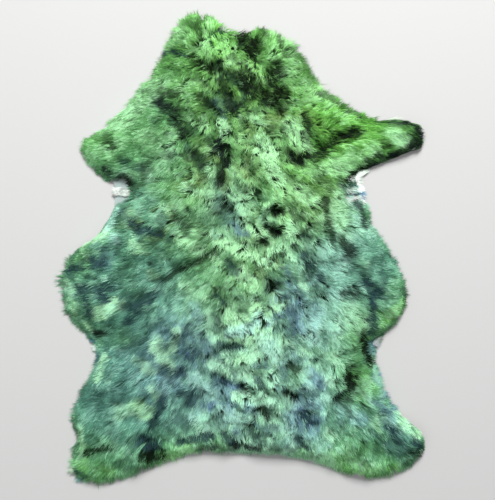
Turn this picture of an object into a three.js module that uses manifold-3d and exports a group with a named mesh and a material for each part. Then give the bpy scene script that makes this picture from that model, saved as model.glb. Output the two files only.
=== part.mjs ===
// A dyed lambskin, laid out flat with the wool up: the tanned skin and the fleece that grows on it.
// Sizes are in millimetres. +Y points to the head and +Z up, and the underside of the skin lies on z = 0.
import * as THREE from "three";
import { mergeVertices } from "three/addons/utils/BufferGeometryUtils.js";
import Module from "manifold-3d";

const wasm = await Module();
wasm.setup();

// The skin
const SKIN_THICK = 2;
const SEAT_GAP = 0.4; // between the skin and the fleece, which lie face to face

// How finely the surfaces are drawn
const RIM_STEP = 12; // between points along an edge
const WOOL_STEP = 14; // between points across the top of the fleece
const CURL_STEP = 14; // between points where the skin curls; it is flat elsewhere
const RIM_CLEAR = 7.5; // from an edge to the first point inside it
const ROW_STEP = Math.sqrt(3) / 2; // from row to row of points, in steps
const OUT_OF_LINE = 0.15; // how far a point may stand off its place in the row, in steps
const INSET_STEPS = 12; // an edge moves inwards in this many steps
const INSET_RELAX = 0.2; // and is smoothed by this share at each, so that it doesn't fold at a tip

// The fleece
const SLOPE = 46; // how far in from the edge the fleece reaches two thirds of its height
const WOOL_PAST_SKIN = 2; // how far the slab's wall stands outside the skin's cut edge
const LEAST_CUT = 1.5; // from the outer line to the skin's cut edge where no wool hangs over it
const WALL = [
  { at: "roots", inset: 4, up: 0 },
  { at: "bulge", inset: 0, up: 0.5 },
  { at: "top", inset: 7, up: 1 },
]; // the slab's wall: how far inside its outermost line, and up which share of the pile
const LUMPS = [
  { pitch: 52, height: 5.5 }, // the rolls that show from a step away
  { pitch: 27, height: 4 }, // single tufts
];
const LUMP_FADE = 60; // how far in from the edge the lumps have their whole height
const LUMP_AT_EDGE = 0.35; // the share of it that they have at the edge

// The locks at the rim, each on one face of the slab's wall. A lock is thinner at its knee, half-way along:
// its low side there lies over the seat, and its high side up a share of the pile.
const LOCK_LEAST_HANG = 5; // an edge with less wool over it has no locks
const LOCK_KNEE = { along: 0.5, narrowed: 0.6, low: 0.3, highShare: 0.3 };
const LOCK_TIP = 0.2; // over the seat
const LOCK_TAILWARD = 0.42; // how far the locks lean towards the tail
const LOCK_PAST_LINE = 1; // how far a common lock reaches past the outer line
const LOCK_LENGTHS = { shortest: 0.8, longest: 1.12 }; // times the common length

// The outer line of the pelt from the head to the tail, a row for each landmark with its two sides.
// hang is how far the wool hangs past the skin's cut edge there, and below zero how much skin lies bare.
// pile is the height of the wool at the edge.
const CROWN = { x: -3, y: 433, hang: 10, pile: 20 };
const LANDMARKS = [
  { at: "ear inner", left: [-29, 445], right: [15, 443], hang: [11, 11], pile: [22, 22] },
  { at: "ear top", left: [-79, 476], right: [37, 449], hang: [10, 12], pile: [20, 24] },
  { at: "ear corner", left: [-117, 471], right: [77, 429], hang: [10, 14], pile: [18, 24] },
  { at: "ear outer", left: [-141, 451], right: [113, 409], hang: [10, 13], pile: [18, 22] },
  { at: "cheek", left: [-157, 415], right: [125, 383], hang: [9, 14], pile: [18, 20] },
  { at: "neck", left: [-171, 375], right: [129, 353], hang: [9, 13], pile: [14, 18] },
  { at: "shoulder", left: [-197, 339], right: [151, 331], hang: [6, 13], pile: [11, 18] },
  { at: "shoulder slope", left: [-233, 293], right: [191, 305], hang: [4, 13], pile: [9, 18] },
  { at: "foreleg upper", left: [-281, 245], right: [241, 271], hang: [4, 9], pile: [8, 14] },
  { at: "foreleg wrist", left: [-308, 224], right: [293, 262], hang: [5, 4], pile: [8, 9] },
  { at: "foreleg end upper", left: [-324, 214], right: [331, 263], hang: [7, 1], pile: [8, 8] },
  { at: "foreleg tip", left: [-331, 201], right: [357, 231], hang: [9, 3], pile: [9, 8] },
  { at: "foreleg end lower", left: [-319, 181], right: [351, 207], hang: [11, 2], pile: [11, 10] },
  { at: "foreleg lower", left: [-297, 155], right: [279, 173], hang: [11, 3], pile: [13, 14] },
  { at: "armpit", left: [-262, 136], right: [219, 143], hang: [3, 3], pile: [12, 10] },
  { at: "bare tab upper", left: [-261, 126], right: [243, 133], hang: [-24, -16], pile: [9, 8] },
  { at: "bare tab lower", left: [-261, 103], right: [243, 101], hang: [-16, -10], pile: [9, 8] },
  { at: "ribs", left: [-267, 72], right: [247, 70], hang: [7, 8], pile: [12, 14] },
  { at: "flap top", left: [-292, 28], right: [277, 20], hang: [3, 11], pile: [9, 14] },
  { at: "flap shoulder", left: [-329, 9], right: [297, -13], hang: [4, 12], pile: [9, 13] },
  { at: "flap outer upper", left: [-361, -29], right: [317, -45], hang: [12, 12], pile: [12, 13] },
  { at: "flap outer", left: [-367, -73], right: [328, -77], hang: [14, 13], pile: [13, 13] },
  { at: "flap outer lower", left: [-363, -119], right: [325, -117], hang: [13, 13], pile: [13, 12] },
  { at: "flap corner", left: [-341, -147], right: [309, -143], hang: [11, 7], pile: [12, 10] },
  { at: "flap end", left: [-315, -166], right: [285, -162], hang: [8, 3], pile: [11, 9] },
  { at: "waist", left: [-302, -185], right: [262, -190], hang: [-9, -10], pile: [8, 8] },
  { at: "thigh top", left: [-297, -216], right: [257, -218], hang: [5, 5], pile: [11, 12] },
  { at: "thigh", left: [-309, -259], right: [273, -252], hang: [8, 10], pile: [13, 16] },
  { at: "hind leg upper", left: [-335, -297], right: [285, -288], hang: [10, 10], pile: [13, 15] },
  { at: "hind leg", left: [-350, -336], right: [305, -322], hang: [10, 5], pile: [13, 11] },
  { at: "hock", left: [-339, -379], right: [335, -343], hang: [9, 2], pile: [13, 9] },
  { at: "hind foot upper", left: [-345, -421], right: [356, -367], hang: [11, 2], pile: [13, 9] },
  { at: "hind foot tip", left: [-351, -446], right: [365, -393], hang: [13, 8], pile: [13, 10] },
  { at: "hind foot lower", left: [-324, -465], right: [355, -419], hang: [15, 12], pile: [15, 13] },
  { at: "hind foot inner", left: [-281, -473], right: [329, -440], hang: [16, 15], pile: [17, 17] },
  { at: "buttock outer", left: [-228, -455], right: [288, -457], hang: [15, 16], pile: [21, 21] },
  { at: "buttock", left: [-169, -431], right: [218, -456], hang: [14, 16], pile: [25, 25] },
  { at: "rump", left: [-101, -408], right: [140, -425], hang: [14, 14], pile: [28, 27] },
];
const TAIL = { x: 10, y: -409, hang: 13, pile: 29 };

// The height of the fleece along the back, from the head to the tail
const BACK = [
  { at: "crown", y: 440, height: 33 },
  { at: "nape", y: 330, height: 37 },
  { at: "withers", y: 200, height: 39 },
  { at: "saddle", y: 40, height: 43 },
  { at: "loin", y: -140, height: 44 },
  { at: "rump", y: -320, height: 42 },
  { at: "tail", y: -410, height: 38 },
];

// Where the dried edge of the skin curls up off the ground: the middle of each curl, its radius and its rise
const CURLS = [
  { at: "right foreleg", x: 352, y: 240, reach: 92, rise: 13 },
  { at: "left foreleg", x: -330, y: 196, reach: 74, rise: 8 },
  { at: "left flap", x: -318, y: 24, reach: 75, rise: 9 },
  { at: "right flap", x: 318, y: -130, reach: 84, rise: 9 },
  { at: "right hind foot", x: 368, y: -368, reach: 88, rise: 14 },
  { at: "left hind foot", x: -352, y: -452, reach: 60, rise: 5 },
  { at: "right armpit", x: 244, y: 118, reach: 56, rise: 3 },
  { at: "left armpit", x: -264, y: 118, reach: 56, rise: 3 },
];

// Numbers in 0..1 that look random and are the same each time
function scatter(i, j = 0) {
  const wave = Math.sin(i * 127.1 + j * 311.7 + 17.3) * 43758.5453;
  return wave - Math.floor(wave);
}

const ease = (t) => {
  const held = Math.min(1, Math.max(0, t));
  return held * held * (3 - 2 * held);
};
const mix = (a, b, t) => a + (b - a) * t;

// Soft lumps of one pitch, between -1 and 1
function lumps(x, y, pitch) {
  const [u, v] = [x / pitch, y / pitch];
  const [i, j] = [Math.floor(u), Math.floor(v)];
  const [a, b] = [ease(u - i), ease(v - j)];
  const low = mix(scatter(i, j), scatter(i + 1, j), a);
  const high = mix(scatter(i, j + 1), scatter(i + 1, j + 1), a);
  return 2 * mix(low, high, b) - 1;
}

// How far the skin lies off the ground
function curl(x, y) {
  let rise = 0;
  for (const { x: cx, y: cy, reach, rise: top } of CURLS) {
    rise += top * ease(1 - Math.hypot(x - cx, y - cy) / reach);
  }
  return rise;
}

// The height of the fleece over the skin, in the middle of the back
function backHeight(y) {
  const next = BACK.findIndex((row) => row.y <= y);
  if (next === 0) return BACK[0].height;
  if (next < 0) return BACK[BACK.length - 1].height;
  const [above, below] = [BACK[next - 1], BACK[next]];
  return mix(below.height, above.height, (y - below.y) / (above.y - below.y));
}

// The landmarks in one closed ring: down the right side, round the tail and up the left side
function ringOfLandmarks() {
  const side = (s) => (row) => ({
    x: (s ? row.right : row.left)[0],
    y: (s ? row.right : row.left)[1],
    hang: row.hang[s],
    pile: row.pile[s],
  });
  return [CROWN, ...LANDMARKS.map(side(1)), TAIL, ...LANDMARKS.map(side(0)).reverse()];
}

const neighbours = (line, k) => [line[(k + line.length - 1) % line.length], line[(k + 1) % line.length]];

// The outward direction at one point of an anticlockwise line
function outward(line, k) {
  const [before, after] = neighbours(line, k);
  const length = Math.hypot(after.x - before.x, after.y - before.y);
  return [(after.y - before.y) / length, (before.x - after.x) / length];
}

// Points every RIM_STEP along a smooth line through the landmarks, each with its outward direction.
// They run anticlockwise, seen from above.
function makeRim() {
  const ring = ringOfLandmarks();
  const curve = new THREE.CatmullRomCurve3(
    ring.map(({ x, y }) => new THREE.Vector3(x, y, 0)),
    true,
    "centripetal",
  );
  const rim = [];
  ring.forEach((from, k) => {
    const to = ring[(k + 1) % ring.length];
    const steps = Math.max(2, Math.round(Math.hypot(to.x - from.x, to.y - from.y) / RIM_STEP));
    for (let n = 0; n < steps; n++) {
      const t = n / steps;
      const { x, y } = curve.getPoint((k + t) / ring.length);
      rim.push({ x, y, hang: mix(from.hang, to.hang, t), pile: mix(from.pile, to.pile, t) });
    }
  });
  rim.reverse();
  return rim.map((p, k) => ({ ...p, out: outward(rim, k) }));
}

const rim = makeRim();

// How far the skin's cut edge and the slab's wall lie inside the outer line
const skinInset = (p) => Math.max(LEAST_CUT, p.hang);
const slabInset = (p) => (p.hang >= 0 ? Math.max(LEAST_CUT, p.hang - WOOL_PAST_SKIN) : LEAST_CUT - p.hang);

// The rim moved inwards, by a distance that depends on the point
function insetLine(inset) {
  let line = rim;
  for (let n = 0; n < INSET_STEPS; n++) {
    const moved = line.map((p, k) => {
      const [nx, ny] = outward(line, k);
      const by = inset(rim[k]) / INSET_STEPS;
      return { x: p.x - nx * by, y: p.y - ny * by };
    });
    line = moved.map((p, k) => {
      const [before, after] = neighbours(moved, k);
      const relaxed = (axis) => mix(p[axis], (before[axis] + after[axis]) / 2, INSET_RELAX);
      return { x: relaxed("x"), y: relaxed("y") };
    });
  }
  return line;
}

// The nearest point of the rim, and how far it is
function nearestRim(x, y) {
  let [best, found] = [Infinity, null];
  for (const p of rim) {
    const away = Math.hypot(p.x - x, p.y - y);
    if (away < best) [best, found] = [away, p];
  }
  return { away: best, point: found };
}

// The top of the skin, where the fleece is seated
const seat = (x, y) => curl(x, y) + SKIN_THICK + SEAT_GAP;

// The height of the fleece's top over the ground
function fleeceTop(x, y) {
  const { away, point } = nearestRim(x, y);
  const inside = Math.max(0, away - slabInset(point));
  const full = Math.max(backHeight(y), point.pile);
  const height = mix(point.pile, full, 1 - Math.exp(-inside / SLOPE));
  const fade = mix(LUMP_AT_EDGE, 1, ease(inside / LUMP_FADE));
  const bumps = LUMPS.reduce((sum, { pitch, height: size }) => sum + size * lumps(x, y, pitch), 0);
  return seat(x, y) + height + fade * bumps;
}

function toSolid(geometry) {
  const bare = geometry.clone();
  bare.deleteAttribute("normal");
  bare.deleteAttribute("uv");
  const merged = mergeVertices(bare, 1e-4);
  return new wasm.Manifold(
    new wasm.Mesh({
      numProp: 3,
      vertProperties: new Float32Array(merged.attributes.position.array),
      triVerts: new Uint32Array(merged.index.array),
    }),
  );
}

function toGeometry(solid) {
  const { vertProperties, triVerts } = solid.getMesh();
  const geometry = new THREE.BufferGeometry();
  geometry.setAttribute("position", new THREE.BufferAttribute(new Float32Array(vertProperties), 3));
  geometry.setIndex(new THREE.BufferAttribute(new Uint32Array(triVerts), 1));
  geometry.computeVertexNormals();
  return geometry;
}

// Whether a place is inside a closed line
function isInside(x, y, line) {
  let inside = false;
  line.forEach((p, k) => {
    const q = line[(k + 1) % line.length];
    if (p.y > y !== q.y > y && x < p.x + ((y - p.y) / (q.y - p.y)) * (q.x - p.x)) inside = !inside;
  });
  return inside;
}

// Points a step apart in staggered rows, a little out of line, inside a closed line and clear of it
function innerPoints(line, step, wanted) {
  const found = [];
  const reach = Math.max(...rim.map((p) => Math.hypot(p.x, p.y)));
  const rows = Math.ceil(reach / step / ROW_STEP);
  const untidy = (i, j) => OUT_OF_LINE * (2 * scatter(i, j) - 1);
  for (let j = -rows; j <= rows; j++) {
    for (let i = -rows; i <= rows; i++) {
      const x = (i + (j % 2) / 2 + untidy(i, j)) * step;
      const y = (j * ROW_STEP + untidy(j, i)) * step;
      const clear = line.every((p) => Math.hypot(p.x - x, p.y - y) > RIM_CLEAR);
      if (clear && wanted(x, y) && isInside(x, y, line)) found.push({ x, y });
    }
  }
  return found;
}

// A triangle of three numbered points, with the circle through them
function circled(points, a, b, c) {
  const [p, q, r] = [points[a], points[b], points[c]];
  const [qx, qy, rx, ry] = [q.x - p.x, q.y - p.y, r.x - p.x, r.y - p.y];
  const turn = 2 * (qx * ry - qy * rx);
  const [qq, rr] = [qx * qx + qy * qy, rx * rx + ry * ry];
  const [ux, uy] = [(ry * qq - qy * rr) / turn, (qx * rr - rx * qq) / turn];
  return { corners: [a, b, c], x: p.x + ux, y: p.y + uy, reach: ux * ux + uy * uy };
}

// The Delaunay triangles of points in the plane, anticlockwise, made by adding one point at a time
function triangulate(points) {
  const far = 1e6;
  const count = points.length;
  const all = [...points, { x: -far, y: -far }, { x: far, y: -far }, { x: 0, y: far }];
  let triangles = [circled(all, count, count + 1, count + 2)];
  points.forEach((p, k) => {
    const open = new Map();
    triangles = triangles.filter(({ corners, x, y, reach }) => {
      if ((p.x - x) ** 2 + (p.y - y) ** 2 > reach) return true;
      corners.forEach((from, n) => {
        const to = corners[(n + 1) % 3];
        if (!open.delete(`${to} ${from}`)) open.set(`${from} ${to}`, [from, to]);
      });
      return false;
    });
    for (const [from, to] of open.values()) triangles.push(circled(all, from, to, k));
  });
  return triangles.map(({ corners }) => corners).filter((corners) => Math.max(...corners) < count);
}

// The triangles that fill a closed line, through points inside it
function fill(line, inner) {
  const points = [...line, ...inner];
  return triangulate(points).filter((corners) => {
    const [x, y] = ["x", "y"].map((axis) => corners.reduce((sum, k) => sum + points[k][axis] / 3, 0));
    return isInside(x, y, line);
  });
}

// A closed body from rings of points, the lowest first, and the points inside its underside and its top.
// A lock can stand on each face of the lowest band.
function loft(rings, underside, top, locks = new Map()) {
  const count = rings[0].length;
  const last = (rings.length - 1) * count;
  const points = [...rings.flat(), ...underside, ...top];
  const index = [];
  const quad = (a, b, c, d) => index.push(a, b, c, a, c, d);
  for (let r = 0; r < last; r += count) {
    for (let k = 0; k < count; k++) {
      const next = (k + 1) % count;
      const face = [r + k, r + next, r + count + next, r + count + k];
      if (r > 0 || !locks.has(k)) {
        quad(...face);
        continue;
      }
      const knee = points.length;
      const tip = knee + 4;
      points.push(...locks.get(k));
      face.forEach((corner, n) => {
        const m = (n + 1) % 4;
        quad(corner, face[m], knee + m, knee + n);
        index.push(knee + n, knee + m, tip);
      });
    }
  }
  const inner = last + count;
  for (const corners of fill(rings[0], underside)) {
    index.push(...corners.map((k) => (k < count ? k : inner + k - count)).reverse());
  }
  for (const corners of fill(rings[rings.length - 1], top)) {
    index.push(...corners.map((k) => (k < count ? last + k : inner + underside.length + k - count)));
  }
  const places = points.flatMap((p) => [p.x, p.y, p.z]);
  const geometry = new THREE.BufferGeometry();
  geometry.setAttribute("position", new THREE.Float32BufferAttribute(places, 3));
  geometry.setIndex(index);
  return toSolid(geometry);
}

// The lock that grows from the wall between two neighbours: its four-sided knee and its tip
function makeLock(k, roots, bulge) {
  const next = (k + 1) % rim.length;
  const face = [roots[k], roots[next], bulge[next], bulge[k]];
  const [x, y] = ["x", "y"].map((axis) => (bulge[k][axis] + bulge[next][axis]) / 2);
  const [nx, ny] = rim[k].out;
  const lean = [nx, ny - LOCK_TAILWARD * (1 - Math.abs(ny))];
  const size = Math.hypot(...lean);
  const [dx, dy] = lean.map((part) => part / size);
  const uneven = mix(LOCK_LENGTHS.shortest, LOCK_LENGTHS.longest, scatter(k, 5));
  const length = ((slabInset(rim[k]) + LOCK_PAST_LINE) / (dx * nx + dy * ny)) * uneven;
  const knee = face.map((corner, n) => {
    const [cx, cy] = [mix(x, corner.x, LOCK_KNEE.narrowed), mix(y, corner.y, LOCK_KNEE.narrowed)];
    const [px, py] = [cx + dx * length * LOCK_KNEE.along, cy + dy * length * LOCK_KNEE.along];
    const over = n < 2 ? LOCK_KNEE.low : LOCK_KNEE.highShare * rim[k].pile;
    return { x: px, y: py, z: seat(px, py) + over };
  });
  const [tx, ty] = [x + dx * length, y + dy * length];
  return [...knee, { x: tx, y: ty, z: seat(tx, ty) + LOCK_TIP }];
}

const raised = (points, height) => points.map(({ x, y }) => ({ x, y, z: height(x, y) }));

// Points where the skin curls, for the two faces that have to lie close together there
const nearCurl = (x, y) => CURLS.some((c) => Math.hypot(x - c.x, y - c.y) < c.reach + CURL_STEP);
const curled = (line) => innerPoints(line, CURL_STEP, nearCurl);

function makeHide() {
  const line = insetLine(skinInset);
  const inner = curled(line);
  const top = (x, y) => curl(x, y) + SKIN_THICK;
  return loft([raised(line, curl), raised(line, top)], raised(inner, curl), raised(inner, top));
}

function makeFleece() {
  const rings = WALL.map(({ inset, up }) => {
    const line = insetLine((p) => slabInset(p) + inset);
    return line.map(({ x, y }) => ({ x, y, z: mix(seat(x, y), fleeceTop(x, y), up) }));
  });
  const underside = raised(curled(rings[0]), seat);
  const top = raised(innerPoints(rings[WALL.length - 1], WOOL_STEP, () => true), fleeceTop);
  const shaggy = rim.flatMap((p, k) => (p.hang < LOCK_LEAST_HANG ? [] : [k]));
  const locks = new Map(shaggy.map((k) => [k, makeLock(k, rings[0], rings[1])]));
  return loft(rings, underside, top, locks);
}

function makeMesh(name, solid, color, roughness) {
  const material = new THREE.MeshStandardMaterial({ color, roughness, metalness: 0 });
  const mesh = new THREE.Mesh(toGeometry(solid), material);
  mesh.name = name;
  return mesh;
}

const lambskin = new THREE.Group();
lambskin.add(makeMesh("hide", makeHide(), 0xd9d3c6, 0.8));
lambskin.add(makeMesh("fleece", makeFleece(), 0x5d9a5c, 0.95));

// The middle of the pelt goes over the origin.
const box = new THREE.Box3().setFromObject(lambskin);
const middle = box.getCenter(new THREE.Vector3());
lambskin.position.set(-middle.x, -middle.y, 0);

export default lambskin;
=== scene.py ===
"""A dyed lambskin, laid out flat with the wool up.

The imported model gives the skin's cut, the height of the wool and the outer line. The skin is dressed
as suede, and the wool is made of locks of fine strands that lie as they were combed and dyed.
Sizes in the tables are in millimetres, from the middle of the pelt: x to the right and y to the head.
"""

import math

import bmesh
import bpy
import numpy as np
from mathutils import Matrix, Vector
from mathutils.bvhtree import BVHTree
from mathutils.kdtree import KDTree


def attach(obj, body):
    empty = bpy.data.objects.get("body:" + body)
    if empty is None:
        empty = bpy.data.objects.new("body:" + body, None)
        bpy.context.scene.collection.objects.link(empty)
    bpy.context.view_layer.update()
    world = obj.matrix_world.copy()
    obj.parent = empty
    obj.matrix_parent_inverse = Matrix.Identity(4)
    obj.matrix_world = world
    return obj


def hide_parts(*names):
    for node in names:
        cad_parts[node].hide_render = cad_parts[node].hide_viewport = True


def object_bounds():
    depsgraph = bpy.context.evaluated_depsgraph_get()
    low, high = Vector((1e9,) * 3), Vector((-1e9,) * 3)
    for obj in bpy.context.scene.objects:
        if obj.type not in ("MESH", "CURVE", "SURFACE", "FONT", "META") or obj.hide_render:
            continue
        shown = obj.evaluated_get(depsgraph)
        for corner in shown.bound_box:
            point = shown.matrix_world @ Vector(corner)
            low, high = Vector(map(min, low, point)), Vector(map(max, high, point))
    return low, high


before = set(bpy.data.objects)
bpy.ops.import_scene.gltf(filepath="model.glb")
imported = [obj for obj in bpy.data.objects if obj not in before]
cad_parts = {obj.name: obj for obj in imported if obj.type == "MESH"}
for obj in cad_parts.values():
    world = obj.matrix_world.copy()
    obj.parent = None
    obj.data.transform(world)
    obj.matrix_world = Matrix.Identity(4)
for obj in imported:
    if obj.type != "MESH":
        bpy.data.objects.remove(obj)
cad_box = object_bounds()

MM = 0.001
SEED = 11
RNG = np.random.default_rng(SEED)

# The photograph's framing
PHOTO_SIZE = (495, 500)
PHOTO_SCALE = 2.0 * MM  # a pixel, at the height of the wool's edge
PHOTO_MIDDLE = (8.9 * MM, -2.0 * MM)  # the place on the ground that the camera looks straight down on
LENS = 50.0
SENSOR = 36.0
EDGE_HEIGHT = 12 * MM  # of the wool's edge over the ground

# The lamps over the floor
LAMPS = [
    # name, place, size, power
    ("window", (0.3, 2.5, 2.8), 1.4, 210),
    ("fill", (-1.2, -0.9, 2.4), 2.4, 14),
]

# The maps of the lie of the land
MAP_STEP = 4 * MM
MAP_MARGIN = 40 * MM
EDGE_STEP = 3 * MM  # between the places where the skin's edge is measured
EDGE_SPAN = 12 * MM  # along the edge, how far the wool's overhang is looked for
RIM_ROUND = 8 * MM  # from the skin's edge to where the wool has its whole height
RIM_POWER = 0.6  # of the round from there to the outermost tips
SKIN_DROOP = 30 * MM  # from the skin's edge to where loose tips reach the ground
LUMPS = {"pitch": 30, "share": 0.32}  # swells finer than the model's, as a share of the wool's height

# Tufts are made of locks, locks of wisps and wisps of strands
TUFT_PITCH = 25 * MM
TUFT_LIFT = 3.5 * MM  # how far one stands over or under the next where the wool is curliest
TUFT_TURN = 50  # degrees from one to the next there
TUFT_GATHER = 0.45  # how far its tips come together there
TUFT_STRAY = 0.25  # of its pitch, how far one stands out of line
LOCK_PITCH = 13.5 * MM
LOCK_STRAY = 0.2  # of its pitch
LOCK_SPREAD = 12 * MM  # the radius of a lock at its root
LOCK_LENGTHS = (0.85, 1.15)  # the least and most, as shares of the combed length
LOCK_STRANDS = 60
LOCK_LIFT = 1.2 * MM
LOCK_TURN = 8
WISPS = 8  # in a lock
WISP_RING = 0.8  # of the lock's radius, where the farthest wisp is rooted
WISP_LIFT = 0.5 * MM
WISP_TURN = 7  # degrees, where the wool lies straight
WISP_CURL = 1.5  # how many times that is added where it is curliest
WISP_LENGTH = 0.12  # how much wisps differ in length
WISP_SPREAD = 2.8 * MM
WISP_GATHER = 0.2  # how far its tips come together at most where the wool is curliest
WISP_SLEEK = 1.8  # times that where it lies straight
STRAND_TURN = 5  # degrees, where the wool lies straight
STRAND_CURL = 4.4  # how many times that is added where it is curliest
STRAND_LENGTHS = (0.72, 1.1)  # the least and most, as shares of the wisp's length
STRAND_LIFT = 0.8 * MM
STRAND_WAVE = 1.2 * MM
EDGE_CLEAR = 1.2 * MM  # from the skin's edge to the nearest root
FRAY_REACH = 6 * MM  # how far the loose wool of bare skin stands out past the skin's edge
STRAYS = {"strands": 0.15, "wisps": 0.30, "reach": 8 * MM}  # the shares that stand out past the rim
RAGGED = {"lock": 1.4 * MM, "wisp": 1.6 * MM, "strand": 0.8 * MM}  # how unevenly each ends at the rim
RIM_LOCKS = 22 * MM  # from the skin's edge to the last lock that is drawn out past it
RIM_TURN = 0.6  # how far a lock at the rim turns straight outwards
RIM_STRETCH = (0.6, 1.1)  # the least and most of the overhang that a strand there fills

# The strands
STRAND_STEPS = (0.0, 0.32, 0.68, 1.0)
OUTER_STEP = 2  # the one whose place chooses a strand's dye
STRAND_BREADTH = (0.7, 1.0, 0.85, 0.0)
STRAND_WIDTH = 1.0 * MM
STRAND_ROLL = 0.35  # radians, how far a strand turns its flat side from the sky
STRAND_ROUND = 0.42  # how round a strand's flat side is shaded
STRAND_RISE = 2.1  # the power of the curve from root to tip
UNDERWOOL = 0.45  # the share of the wool's height that the underwool fills
ROOT_DEPTH = 0.8  # of the underwool's height, where the strands are rooted
GROUND_CLEAR = 0.8 * MM
UNDER_STEP = 7 * MM  # the side of the underwool's faces
UNDER_INSET = 2.5 * MM  # from the skin's edge to the underwool's
UNDER_LEAST = 0.6 * MM  # its least height over the skin
UNDER_GAP = 0.3 * MM  # from the skin to its lower side

# How the wool was combed. heading is where the tips point, in degrees from the right side, anticlockwise.
# lean is 1 where the wool lies flat, and curl is 1 where the tufts turn every way.
NAP = [
    # at, x, y, heading, lean, length, curl
    ("left ear top", -99, 459, 105, 0.60, 26, 0.25),
    ("left ear outer", -153, 399, 165, 0.65, 26, 0.20),
    ("left cheek", -169, 339, 195, 0.80, 28, 0.15),
    ("crown", -19, 409, 300, 0.50, 26, 0.50),
    ("right ear top", 61, 429, 75, 0.60, 26, 0.25),
    ("right ear outer", 107, 379, 15, 0.65, 26, 0.20),
    ("nape", 1, 319, 270, 0.45, 24, 0.80),
    ("neck right", 81, 319, 335, 0.55, 26, 0.45),
    ("right shoulder edge", 151, 319, 48, 0.65, 28, 0.10),
    ("right shoulder", 171, 269, 20, 0.60, 28, 0.25),
    ("right foreleg", 261, 219, 345, 0.90, 32, 0.05),
    ("right foreleg tip", 327, 229, 340, 0.85, 26, 0.10),
    ("right foreleg lower", 201, 179, 350, 0.90, 34, 0.08),
    ("left shoulder", -189, 309, 195, 0.90, 32, 0.05),
    ("left shoulder inner", -109, 279, 210, 0.65, 28, 0.35),
    ("left foreleg", -279, 209, 190, 0.90, 34, 0.08),
    ("left foreleg lower", -229, 169, 195, 0.85, 32, 0.10),
    ("withers", 1, 219, 265, 0.50, 24, 0.80),
    ("withers right", 91, 219, 290, 0.55, 26, 0.50),
    ("withers left", -89, 199, 225, 0.60, 28, 0.40),
    ("left ribs", -209, 89, 190, 0.90, 36, 0.08),
    ("left ribs inner", -119, 69, 205, 0.80, 32, 0.20),
    ("right ribs", 201, 89, 355, 0.85, 32, 0.12),
    ("saddle", 31, 59, 275, 0.50, 24, 0.90),
    ("saddle right", 111, 39, 320, 0.60, 26, 0.50),
    ("left flap", -319, -61, 185, 0.92, 36, 0.05),
    ("left flank", -209, -41, 205, 0.90, 38, 0.08),
    ("left flank inner", -109, -61, 215, 0.80, 34, 0.18),
    ("loin", 11, -121, 265, 0.52, 26, 0.80),
    ("right flank inner", 141, -41, 330, 0.70, 30, 0.30),
    ("right flank", 231, -21, 358, 0.88, 34, 0.08),
    ("right flap", 301, -81, 355, 0.90, 32, 0.05),
    ("left waist", -269, -191, 200, 0.92, 38, 0.05),
    ("left thigh", -269, -281, 205, 0.92, 42, 0.05),
    ("left thigh inner", -149, -261, 222, 0.85, 38, 0.15),
    ("lower back", 18, -149, 262, 0.62, 26, 0.25),
    ("rump", 1, -281, 262, 0.55, 26, 0.80),
    ("right thigh inner", 131, -241, 300, 0.65, 28, 0.50),
    ("right thigh", 231, -241, 350, 0.85, 32, 0.12),
    ("left hind foot", -319, -411, 215, 0.90, 42, 0.08),
    ("left buttock", -229, -411, 240, 0.85, 38, 0.08),
    ("rump edge left", -129, -411, 262, 0.70, 32, 0.15),
    ("tail", 11, -401, 270, 0.65, 30, 0.30),
    ("rump edge right", 151, -411, 278, 0.70, 32, 0.20),
    ("right buttock", 251, -421, 292, 0.75, 32, 0.10),
    ("right hind foot", 341, -381, 320, 0.85, 30, 0.08),
    ("right hock", 301, -301, 335, 0.88, 30, 0.08),
]
NAP_POWER = 3.0  # how quickly a row's hold fades
NAP_NEAR = 15 * MM  # from the row's place to where it starts to fade

# How light a strand is, as shares of the range from the darkest to the lightest. light is what the light
# places add, partly pale dye and partly painted highlight
TONE = {
    "least": 0.40, "curled": 0.08, "light": 0.45,
    "tuft": 0.10, "lock": 0.05, "wisp": 0.08, "strand": 0.04,
}
TONE_PITCHES = {15: 0.6, 34: 0.7, 80: 0.3}  # how it varies over the pelt: millimetres and shares
TONE_SLEEK = 2.1  # how many times more wisps and strands differ where the wool lies straight
DEPTH = 1.5  # how soon a strand that took some of a dark dye looks dark
DYE_STRAY = 5 * MM  # how far the dye's edges wander
DYE_STREAKS = 0.30  # how unevenly wisps take it

# The dyes, as sRGB
DYES = {
    "leaf": (0.51, 0.78, 0.46),
    "lime": (0.54, 0.87, 0.36),
    "teal": (0.47, 0.73, 0.71),
    "mint": (0.73, 0.95, 0.73),
    "frost": (0.76, 0.97, 0.90),
    "olive": (0.56, 0.70, 0.36),
    "haze": (0.58, 0.77, 0.80),
    "slate": (0.40, 0.54, 0.69),
    "navy": (0.10, 0.20, 0.24),
    "soot": (0.07, 0.12, 0.11),
    # pitch, near black, is mostly painted shade in pits, creases and folds
    "pitch": (0.03, 0.09, 0.025),
    "undyed": (0.88, 0.90, 0.88),
}

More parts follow.
